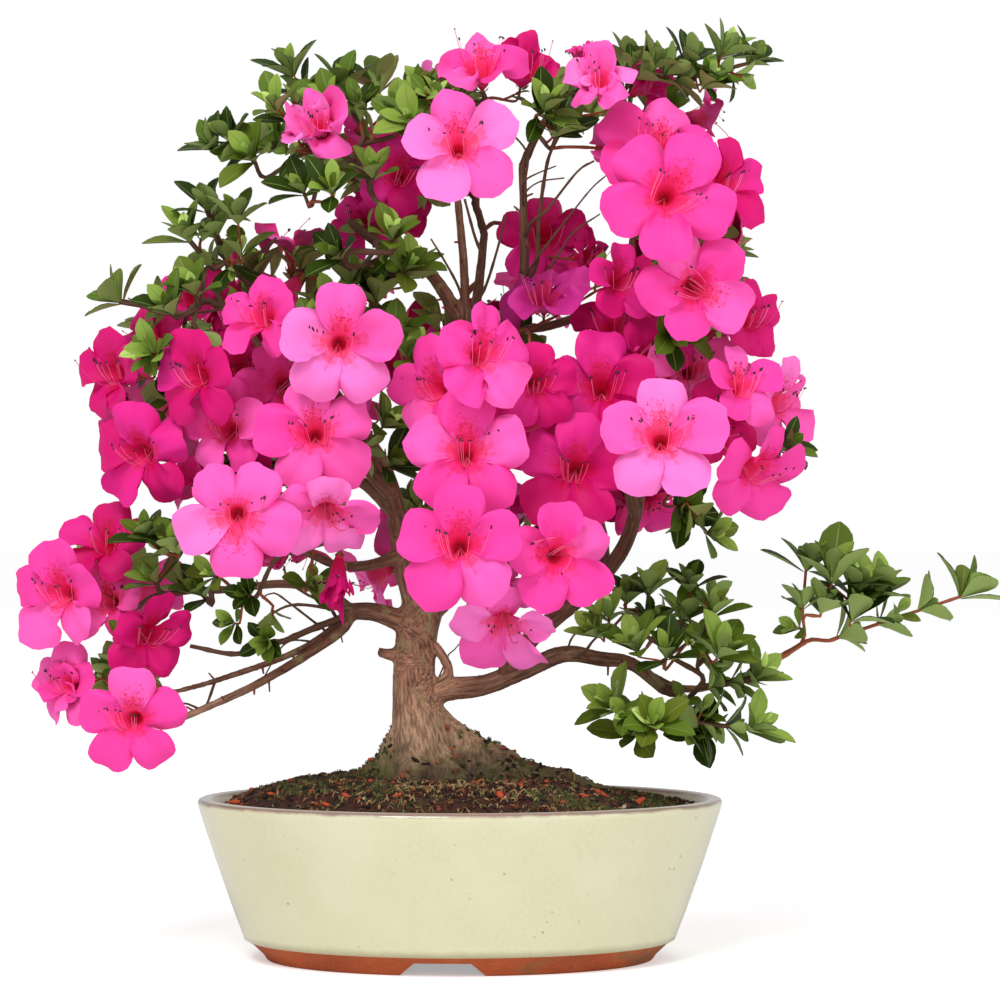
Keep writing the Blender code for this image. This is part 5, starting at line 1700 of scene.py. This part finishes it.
# Blooms with a look of their own, by where they show: how far open, their pink with its painted
# light and shade, how crumpled
LOOKS = {
    (-71, 415): (0.74, LIT_PINK, 2.6), (42, 331): (0.95, SHADOWED_BLOOM, 2.6), (-61, 192): (0.32, SHADED_PINK, 1.5),
    (70, 438): (0.75, LIT_PINK, 1.6), (10, 446): (0.85, HALF_LIT_PINK, 1.8), (34, 444): (0.75, SHADED_PINK, 1.6),
    (60, 449): (0.5, HALF_LIT_PINK, 1.4), (92, 436): (0.6, SHADED_PINK, 1.4), (22, 166): (0.95, LIT_PINK, 1.0),
    (0, 406): (1.0, LIT_PINK, 0.8), (-112, 221): (1.0, LIT_PINK, 1.0), (-67, 221): (0.95, LIT_PINK, 1.2),
    (101, 259): (1.0, LIT_PINK, 0.8), (103, 381): (1.0, HALF_LIT_PINK, 1.0), (117, 336): (1.0, HALF_LIT_PINK, 1.0),
    (0, 205): (1.0, HALF_LIT_PINK, 0.8), (50, 201): (1.0, HALF_LIT_PINK, 1.0), (57, 243): (1.0, SHADED_PINK, 1.0),
    (70, 284): (1.0, SHADED_PINK, 1.2), (38, 286): (1.0, SHADED_PINK, 1.0), (77, 314): (0.9, SHADED_PINK, 1.2),
    (-32, 391): (0.9, SHADED_PINK, 1.2), (-50, 366): (0.8, SHADED_PINK, 1.2), (-117, 264): (0.95, HALF_LIT_PINK, 1.2),
    (-135, 331): (0.8, SHADED_PINK, 1.2), (-155, 161): (0.9, SHADED_PINK, 1.2), (42, 359): (0.9, SHADED_PINK, 1.4),
    (64, 350): (0.8, SHADED_PINK, 1.6), (98, 405): (1.0, HALF_LIT_PINK, 1.2), (-164, 118): (1.0, HALF_LIT_PINK, 0.9),
    (78, 409): (0.7, LIT_PINK, 1.4), (-60, 306): (1.0, LIT_PINK, 1.0), (-72, 261): (1.0, HALF_LIT_PINK, 1.0),
    (3, 252): (1.0, HALF_LIT_PINK, 1.0), (12, 301): (0.95, HALF_LIT_PINK, 1.4), (-200, 181): (0.95, HALF_LIT_PINK, 1.4),
}


# Half double blooms: their inner whorl's width and how far open it is, as shares
DOUBLES = ((-71, 415), (70, 438), (-61, 192), (-196, 136))
INNER_WIDTH, INNER_OPEN, INNER_RISE = 0.74, 0.72, 3
# The other blooms' pinks, dealt at random: painted light and shade
FAMILIES = (HALF_LIT_PINK, HALF_LIT_PINK, LIT_PINK, SHADED_PINK, SHADED_PINK)
SEPAL_GRID = flat_grid(2, 2)


def bloom_petals(bloom, dice, open_share, crumple):
    petals = [Petal(dice, open_share * dice.uniform(0.94, 1.0), crumple) for _ in range(LOBES)]
    u, v, _ = PETAL_GRID
    return petals, [bloom.place(turned(p.sheet(u, v), k * LOBE_STEP)) for k, p in enumerate(petals)]


def one_skin(sheets):
    count = len(sheets[0])
    faces = [[corner + k * count for corner in face] for k in range(LOBES) for face in PETAL_GRID[2]]
    return np.concatenate(sheets), faces


def free_bloom(crown, growth, seed, open_share, crumple):
    """A bloom at the first place on its line where it cuts no other, or else where it grows."""
    first = None
    width, roll = growth.bloom
    for nudge in NUDGES:
        bloom = Bloom(growth.points[0] + growth.along * nudge * MM, growth.facing, roll, width)
        form = random.Random(seed)
        petals, sheets = bloom_petals(bloom, form, open_share, crumple)
        found = bloom, petals, sheets, one_skin(sheets), form
        first = first or found
        if not crown.cuts(*found[3]):
            return found
    return first


def add_calyx(batch, bloom):
    u, v, faces = SEPAL_GRID
    wide = 0.05 * np.sin(math.pi * np.clip(v * 0.92 + 0.04, 0, 1))
    points = np.stack((0.035 + 0.11 * v**0.6, u * wide, 0.16 * v), axis=-1)
    for k in range(LOBES):
        batch.add(bloom.place(turned(points, (k + 0.5) * LOBE_STEP)), faces, CALYX)


def set_blooms():
    crown, blossom, anthers, courses = Crown(), Batch(), Batch(), []
    for name, growths in GROWTHS.items():
        for k, growth in enumerate(g for g in growths if g.bloom):
            dice = random.Random(f"bloom{name}{k}{SEED}")
            width, roll = growth.bloom
            row = MASSES[name][1][k][:2] if not growth.hidden else None
            own = dice.uniform(0.88, 1.0), dice.choice(FAMILIES), dice.uniform(0.8, 1.5)
            open_share, family, crumple = LOOKS.get(row, own)
            seed = f"petals{name}{k}{SEED}"
            bloom, petals, sheets, skin, form = free_bloom(crown, growth, seed, open_share, crumple)
            crown.keep(*skin)
            growth.points = [bloom.foot]
            whorls = [sheets]
            if row in DOUBLES:
                foot = bloom.foot + bloom.facing * INNER_RISE * MM
                inner = Bloom(foot, bloom.facing, roll + LOBE_STEP / 2, width * INNER_WIDTH)
                whorls.append(bloom_petals(inner, form, open_share * INNER_OPEN, crumple)[1])
            for lobe, sheet in (pair for each in whorls for pair in enumerate(each)):
                shades = petal_slots(family, lobe, form.choice((0, 0, 1)), form.uniform(0, 6))
                blossom.add(sheet, PETAL_GRID[2], shades)
            add_specks(blossom, petals, bloom, dice)
            add_calyx(blossom, bloom)
            stamens = stamen_courses(bloom, dice)
            courses += stamens
            add_anthers(anthers, stamens, dice)
    return crown, blossom, courses, anthers


CROWN, blossom, stamen_curves, anthers = set_blooms()
piece("blossom", blossom.mesh(), PETALS, "leaf_and_petal", *MASSES)
piece("stamens", tubes(stamen_curves), STAMENS, "leaf_and_petal")
piece("anthers", anthers.mesh(), STAMENS, "leaf_and_petal")

# %% [markdown]
# ## Leaves
# A leaf of this azalea is one to two centimetres long, widest past its middle, with a short point.
# It folds along a pale midrib and curls down at the tip, satin green above, paler and dull below.
# So a leaf here is a folded upper sheet with a narrow midrib, and a plain one just under it. A few
# forms are made, and each leaf is one of them, turned, scaled and set down.

# %% Leaf forms
LEAF_TOP = flat_grid(3, 6)
LEAF_UNDER = flat_grid(2, 5)
LEAF_SHARES = (0.0, 0.1, 0.25, 0.45, 0.65, 0.85, 1.0)
LEAF_HALF_WIDTHS = (0.06, 0.16, 0.50, 0.88, 1.0, 0.76, 0.07)
UNDERSIDE_GAP = 0.012
TIP_CLOSER = 1.35  # rows of faces lie closer towards the tip, which makes it round
RIB_CLOSER = (0, 0.34, 1), (0, 0.05, 1)  # the column beside the middle makes the narrow midrib
LEAF_FORM_COUNT = 10
# Masses with longer or shorter leaves than the rest
LEAF_SCALE = {"foliage_far_right": 1.28, "foliage_top_right": 1.05, "foliage_front_left_low": 0.72}
MIDRIB, YOUNG_AND_LIT_LEAF, FRESH_LEAF, MID_LEAF, OLD_AND_SHADED_LEAF, OLIVE_LEAF, UNDERSIDE, BUD = range(8)
LEAVES = [
    plain("leaf_midrib", (112, 136, 58), 0.55),
    # Young leaves' green, made pale enough to carry painted light
    plain("leaf_young_and_lit", (194, 220, 122), 0.5, specular_ior_level=0.2),
    plain("leaf_fresh", (138, 164, 66), 0.5, specular_ior_level=0.2),
    plain("leaf_mid", (88, 112, 28), 0.5, specular_ior_level=0.18),
    # Old leaves' green, made dark enough to carry painted shade
    plain("leaf_old_and_shaded", (42, 62, 4), 0.48, specular_ior_level=0.18),
    plain("leaf_olive", (98, 112, 28), 0.5, specular_ior_level=0.2),
    plain("leaf_underside", (146, 170, 90), 0.7),
    plain("bud_russet", (150, 66, 32), 0.6),
]


def leaf_sheet(grid, slim, fold, curl, lower):
    u, v, faces = grid
    v = 1 - (1 - v) ** TIP_CLOSER
    across = u if lower else np.sign(u) * np.interp(np.abs(u), *RIB_CLOSER)
    half = slim * np.interp(v, LEAF_SHARES, LEAF_HALF_WIDTHS)
    x = across * half
    z = fold * np.abs(across) * half - curl * v**2 + 0.10 * v - lower
    return np.stack((x, v, z), axis=-1), faces


def leaf_forms():
    dice = random.Random("leaf forms")
    found = []
    for _ in range(LEAF_FORM_COUNT):
        slim, fold, curl = dice.uniform(0.225, 0.285), dice.uniform(0.10, 0.45), dice.uniform(0.0, 0.24)
        top, top_faces = leaf_sheet(LEAF_TOP, slim, fold, curl, 0.0)
        under, under_faces = leaf_sheet(LEAF_UNDER, slim * 0.99, fold, curl, UNDERSIDE_GAP)
        count = len(top)
        faces = top_faces + [[corner + count for corner in reversed(face)] for face in under_faces]
        is_rib = [bool(np.all(np.abs(LEAF_TOP[0][face]) < 0.5)) for face in top_faces]
        found.append((np.concatenate((top, under)), faces, is_rib, len(under_faces)))
    return found


LEAF_FORMS = leaf_forms()
print("faces in a leaf:", len(LEAF_FORMS[0][1]))


def add_leaf(batch, crown, base, along, normal, length, colour, form):
    """One leaf, unless it would cut through a petal."""
    points, faces, is_rib, under = form
    placed = set_at(points, base, normal, along.cross(normal), length)
    if not crown.cuts(placed, faces):
        slots = [MIDRIB if rib else colour for rib in is_rib] + [UNDERSIDE] * under
        batch.add(placed, faces, slots)

# %% [markdown]
# Leaves stand in whorls at the shoots' tips. The inner ones are small, upright and bright: young
# leaves, with painted light in the brightest green. The outer ones are long, nearly flat and dark:
# old leaves, with painted shade in the darkest green. Each leaf turns by the golden angle from the
# one before, which is how the plant itself keeps them out of each other's shade.

# %% Whorls of leaves
GREENS = (  # a whorl's greens, from its small inner leaves to its long outer ones
    (YOUNG_AND_LIT_LEAF, FRESH_LEAF, FRESH_LEAF, MID_LEAF), (YOUNG_AND_LIT_LEAF, FRESH_LEAF, MID_LEAF, OLIVE_LEAF),
    (FRESH_LEAF, MID_LEAF, OLD_AND_SHADED_LEAF, OLD_AND_SHADED_LEAF), (OLIVE_LEAF, FRESH_LEAF, MID_LEAF, OLD_AND_SHADED_LEAF),
)
BUD_FORM = ball(1, (1.3 * MM, 1.3 * MM, 3.2 * MM))
BUD_CHANCE, BUD_RUSSET = 0.35, 0.6
# Degrees that the innermost leaf rises, and how much less the outermost does: at a tip and below
TIP_RISE, SIDE_RISE = (80, 52), (58, 34)


def add_whorl(batch, crown, centre, facing, count, size, dice, is_tip=True):
    """Leaves round a shoot's tip, from the small upright ones out to the long flat ones."""
    across, other = across_of(facing, SKY)
    start = any_turn(dice)
    greens = dice.choice(GREENS)
    steepest, fall = TIP_RISE if is_tip else SIDE_RISE
    for k in range(count):
        share = k / max(1, count - 1)
        turn = start + k * GOLDEN_TURN + dice.gauss(0, 0.12)
        out = at_turn(across, other, turn)
        rise = math.radians(steepest - fall * share + dice.gauss(0, 7))
        length = size * (0.52 + 0.48 * min(1.0, share * 1.6)) * dice.uniform(0.85, 1.12)
        along = (out * math.cos(rise) + facing * math.sin(rise)).normalized()
        normal = (facing * math.cos(rise) - out * math.sin(rise)).normalized()
        to_light = (normal + SKY * 0.25 + chance_vector(dice, 0.14)).normalized()
        normal = across_of(along, to_light)[0]
        colour = greens[min(3, int(share * 3.2 + dice.uniform(0, 0.9)))]
        base = centre - facing * (2.2 * MM * share) + along * (0.6 * MM)
        add_leaf(batch, crown, base, along, normal, length, colour, dice.choice(LEAF_FORMS))
    if is_tip and dice.random() < BUD_CHANCE:
        form = set_at(BUD_FORM[0], centre + facing * 2 * MM, facing, across, dice.uniform(0.6, 1.0))
        batch.add(form, BUD_FORM[1], BUD if dice.random() < BUD_RUSSET else YOUNG_AND_LIT_LEAF)

# %% [markdown]
# ## Twigs
# A mass hangs on one stem that carries on from its bough. Each bloom and shoot leaves the nearest
# twig that already looks its way, and bends round to face as it should. When all are placed, a
# twig's thickness follows from how many tips it carries, as a river's does from its streams.

# %% Twigs from the boughs to every bloom and whorl
TIP_RADIUS = 0.62 * MM
CARRY = 0.36  # how fast a twig thickens with the tips it carries
TWIG_STEP = 3 * MM
BEHIND_COST = 50 * MM  # what it costs a twig to leave its parent backwards
SHORT, SHORT_COST = 8 * MM, 20 * MM  # and to be as short as this
TWIG_BEND = 0.3  # of a twig's length, at each end
TWIG_JOG = 0.04
NODE_SWELL = 1.16
STEM_END = 0.35
BROWN_TWIG, RUSSET_TWIG, RED_SHOOT = range(3)


class Twig:
    """A course of points, the twig that it leaves, and how many tips it carries."""

    def __init__(self, course, parent=None):
        self.course = course
        self.parent = parent
        self.tips = 0

    def sockets(self):
        last = len(self.course) - 1
        for k in range(max(1, last // 6), last, 2):
            yield self.course[k], (self.course[k + 1] - self.course[k - 1]).normalized(), self

    def add_tip(self):
        twig = self
        while twig:
            twig.tips += 1
            twig = twig.parent

    def radius(self):
        return TIP_RADIUS * max(1, self.tips) ** CARRY


def best_socket(sockets, point):
    def cost(socket):
        place, way, _ = socket
        to_point = point - place
        behind = max(0.0, 0.25 - to_point.normalized().dot(way)) if to_point.length else 1
        short = SHORT_COST if to_point.length < SHORT else 0
        return to_point.length + behind * BEHIND_COST + short

    return min(sockets, key=cost)


def grow_to(sockets, points, facing, dice):
    place, way, parent = best_socket(sockets, points[0])
    distance = (points[0] - place).length
    start = place + (way + (points[0] - place).normalized()).normalized() * distance * TWIG_BEND
    onward = facing if len(points) == 1 else (points[1] - points[0]).normalized()
    before = points[0] - onward * distance * TWIG_BEND
    jog = chance_vector(dice, TWIG_JOG) * distance
    controls = [place, start + jog, before - jog * 0.5, *points]
    return Twig(smooth_course(controls, TWIG_STEP), parent)


def twig_courses(twigs, stem_radius, slot_least):
    found = []
    for twig in twigs:
        end = twig.radius()
        start = max(end, min(twig.parent.radius() * 0.85, end * 1.5) if twig.parent else stem_radius)
        count = len(twig.course)
        radii = [start + (end - start) * k / (count - 1) for k in range(count)]
        for k in range(2, count - 1, 4):
            radii[k] *= NODE_SWELL
        if not twig.parent:
            radii[-1] *= STEM_END
        slot = BROWN_TWIG if twig.tips > 3 else RUSSET_TWIG if twig.tips > 1 else RED_SHOOT
        found.append((twig.course, radii, max(slot, slot_least)))
    return found


print("a twig with 30 tips is", round(2 * TIP_RADIUS * 30**CARRY / MM, 1), "mm thick")

# %% [markdown]
# To dress a mass, its stem is set first and its growths follow from the nearest to the farthest,
# so that a far one can leave the twig of a near one. Short spurs with small leaves fill the gaps.

# %% A mass with its twigs and leaves
HUB_SHARE = 0.45  # of the way from a stem's foot to the middle of its growths
STEM_LEAST = 14 * MM
SPUR_CHANCE = (0.35, 0.7)  # on the sides that show, and on the hidden ones
WHORL_LEAF = (19 * MM, 21 * MM)  # the longest leaf below a tip, and at one
YOUNG = ("foliage_far_right",)  # all its stems are of this year, still red


def side_shoots(growth, twig, twigs, batch, crown, dice):
    """Short spurs with a few small leaves along a twig, more of them on the hidden sides."""
    for k in range(3, len(twig.course) - 3, 4):
        if dice.random() > SPUR_CHANCE[growth.hidden]:
            continue
        place = twig.course[k]
        way = (twig.course[k + 1] - twig.course[k - 1]).normalized()
        out = at_turn(*across_of(way, SKY), any_turn(dice))
        out = (out + way * 0.8 + SKY * 0.4).normalized()
        tip = place + out * dice.uniform(4, 9) * MM
        spur = Twig([place, place.lerp(tip, 0.5) + way * 0.6 * MM, tip], twig)
        twigs.append(spur)
        add_whorl(batch, crown, tip, out, dice.randint(4, 6), dice.uniform(12, 17) * MM, dice)


def dress_mass(name, batch, crown):
    limb = LIMB_COURSES[MASSES[name][0]]
    foot, heading = limb[-1], (limb[-1] - limb[-2]).normalized()
    rows = sorted(GROWTHS[name], key=lambda g: (g.points[0] - foot).length)
    middle = sum((g.points[0] for g in rows), Vector()) / len(rows)
    towards = middle - foot
    reach = max(STEM_LEAST, towards.length * HUB_SHARE)
    hub = foot + (towards.normalized() + heading).normalized() * reach
    middle_way = foot.lerp(hub, 0.5) + heading * MM
    stem = Twig(smooth_course([foot - heading * MM, middle_way, hub], TWIG_STEP))
    twigs, sockets = [stem], list(stem.sockets())
    dice = random.Random(f"twigs{name}{SEED}")
    for growth in rows:
        twig = grow_to(sockets, growth.points, growth.facing, dice)
        twigs.append(twig)
        twig.add_tip()
        sockets += twig.sockets()
        side_shoots(growth, twig, twigs, batch, crown, dice)
        if growth.bloom:
            continue
        for k, point in enumerate(growth.points):
            is_tip = k == len(growth.points) - 1
            longest = WHORL_LEAF[is_tip] * dice.uniform(0.86, 1.14) * LEAF_SCALE.get(name, 1.0)
            onward = growth.facing if is_tip else (growth.points[k + 1] - point).normalized()
            count = dice.randint(8, 10) if is_tip else 6
            add_whorl(batch, crown, point, onward, count, longest, dice, is_tip)
    slot_least = RED_SHOOT if name in YOUNG else BROWN_TWIG
    return twig_courses(twigs, LIMBS[MASSES[name][0]][1] * MM, slot_least)

# %% [markdown]
# Where the crown is open, single bare twigs show against the sky. They have rows of their own, and
# each leaves the nearest limb. Limbs in plain view also carry short broken spurs.

# %% Bare twigs and spurs
# Bare twigs that show against the sky: radius at each end, depth of the tip, then across and up
BARE_TWIGS = (
    (1.3, 0.6, -24, (36, 368), (43, 373.5), (58.5, 393), (67, 398.5)),
    (1.5, 0.9, 4, (38, 346.5), (39.5, 369.5), (43, 394.5), (46, 404.5), (50.5, 412.5)),
    (0.8, 0.4, -18, (32, 388), (38, 392), (48, 396)), (0.7, 0.4, -26, (32, 382), (39.5, 388), (52, 390)),
    (0.9, 0.4, -12, (40, 352), (55.5, 372), (66, 385), (74, 392)),
    (0.9, 0.5, -6, (12, 334), (18, 352), (23, 371)),
    (1.0, 0.6, -10, (11.5, 346), (7, 362), (2.3, 379.5)),
    (1.1, 0.6, -14, (-1, 336), (-8, 349), (-14.5, 359.5)),
    (0.9, 0.4, -16, (44, 344), (56, 362), (70, 372)), (0.8, 0.4, -8, (34, 400), (30, 408), (24, 413)),
    (2.0, 1.0, -22, (-56, 171), (-74, 164.5), (-88, 158.5), (-96, 157.5), (-112, 152), (-135, 156)),
    (1.1, 0.5, -16, (-65, 175), (-84, 176.5), (-98, 170)),
    (0.7, 0.4, -12, (-84, 176.5), (-93, 182.5), (-99, 180)),
    (1.0, 0.5, -12, (-66, 178), (-76, 181.5), (-86, 189), (-88, 196)),
    (0.5, 0.4, -16, (-87, 157.5), (-98, 140.5)), (0.9, 0.4, -14, (-128, 125), (-136, 127), (-144, 128)),
    (0.9, 0.4, -10, (-70, 184), (-74, 190), (-72, 198)),
    (0.6, 0.4, -20, (53, 154), (56.6, 161), (67, 169.5), (78, 172), (90, 172)),
    (0.6, 0.4, -4, (81, 149), (79.5, 133)), (1.0, 0.5, -14, (60, 151), (66, 158), (72, 164)),
    (0.9, 0.5, -26, (96, 146), (106, 152), (116, 160)),
    (1.4, 0.7, -18, (-103, 330), (-113, 345), (-121, 356), (-124, 372)),
    (1.2, 0.6, -26, (-104, 334), (-105, 348), (-98, 354), (-92, 360)),
    (0.9, 0.4, -30, (-110, 326), (-128, 323), (-150, 322), (-166, 330)),
    (0.5, 0.3, -6, (-5.5, 152), (-3, 154), (0.5, 158)),
)
FORK_BACK = 15 * MM  # a bare twig leaves its limb this far behind the first point that shows
SPUR_GAP = 0.35  # the share of places on a limb without a spur
SPUR_RADII = (0.8, 0.4)
# Limbs in plain view that carry short broken spurs
SPURRED = (
    "bough_left_low", "bough_left_middle", "bough_left_high", "bough_low_right", "bough_top_right",
    "bough_top", "bough_far_right", "leader_left", "bough_top_left",
)


def with_nodes(course, start, end, slot):
    """A tapering course with a small swelling at every fourth point."""
    last = len(course) - 1
    swell = [1.2 if k % 4 == 2 else 1 for k in range(last + 1)]
    return course, [(start + (end - start) * k / last) * MM * each for k, each in enumerate(swell)], slot


def bare_twigs():
    dice = random.Random("bare twigs")
    stations = [point for course in LIMB_COURSES.values() for point in course]
    found = []
    for start, end, depth, *spots in BARE_TWIGS:
        points = [seen(x, z, depth * (k + 1) / len(spots)) for k, (x, z) in enumerate(spots)]
        back = points[0] - (points[1] - points[0]).normalized() * FORK_BACK
        foot = min(stations, key=lambda station: (station - back).length)
        course = smooth_course([foot, *points], TWIG_STEP)
        found.append(with_nodes(course, start, end, BROWN_TWIG))
    for name in SPURRED:
        course = LIMB_COURSES[name]
        for k in range(3, len(course) - 2, 2):
            if dice.random() < SPUR_GAP:
                continue
            way = (course[k + 1] - course[k - 1]).normalized()
            out = at_turn(*across_of(way, SKY), any_turn(dice))
            out = (out + way * dice.uniform(0, 0.8)).normalized()
            reach = LIMBS[name][0] * MM + dice.uniform(1.0, 4.5) * MM
            tip = course[k] + out * reach
            spur = [course[k], course[k].lerp(tip, 0.5), tip]
            found.append(with_nodes(spur, *SPUR_RADII, RUSSET_TWIG))
    return found


TWIGS = [
    plain("twig_brown", (100, 68, 50), 0.85),
    plain("twig_russet", (128, 70, 44), 0.75),
    plain("shoot_red", (158, 76, 42), 0.65),
]


def dress_crown():
    """Each mass in turn. The leaves go to three pieces, which keeps each light."""
    batches = {"leaves_left": Batch(), "leaves_right": Batch(), "leaves_back": Batch()}
    courses = []
    for name in MASSES:
        across = sum(growth.points[0].x for growth in GROWTHS[name])
        label = "leaves_back" if "_back_" in name else "leaves_left" if across < 0 else "leaves_right"
        courses += dress_mass(name, batches[label], CROWN)
    courses += bare_twigs()
    for label, batch in batches.items():
        piece(label, batch.mesh(), LEAVES, "leaf_and_petal")
    piece("twigs", tubes(courses), TWIGS, "bark")


dress_crown()

# %% [markdown]
# The box of the solids and the box of what is shown are printed side by side.

# %% Both boxes, then the end
SHOWN_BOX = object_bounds()
for label, (low, high) in (("solids", CAD_BOX), ("shown", SHOWN_BOX)):
    print(label, [round(c / MM, 1) for c in low], [round(c / MM, 1) for c in high])
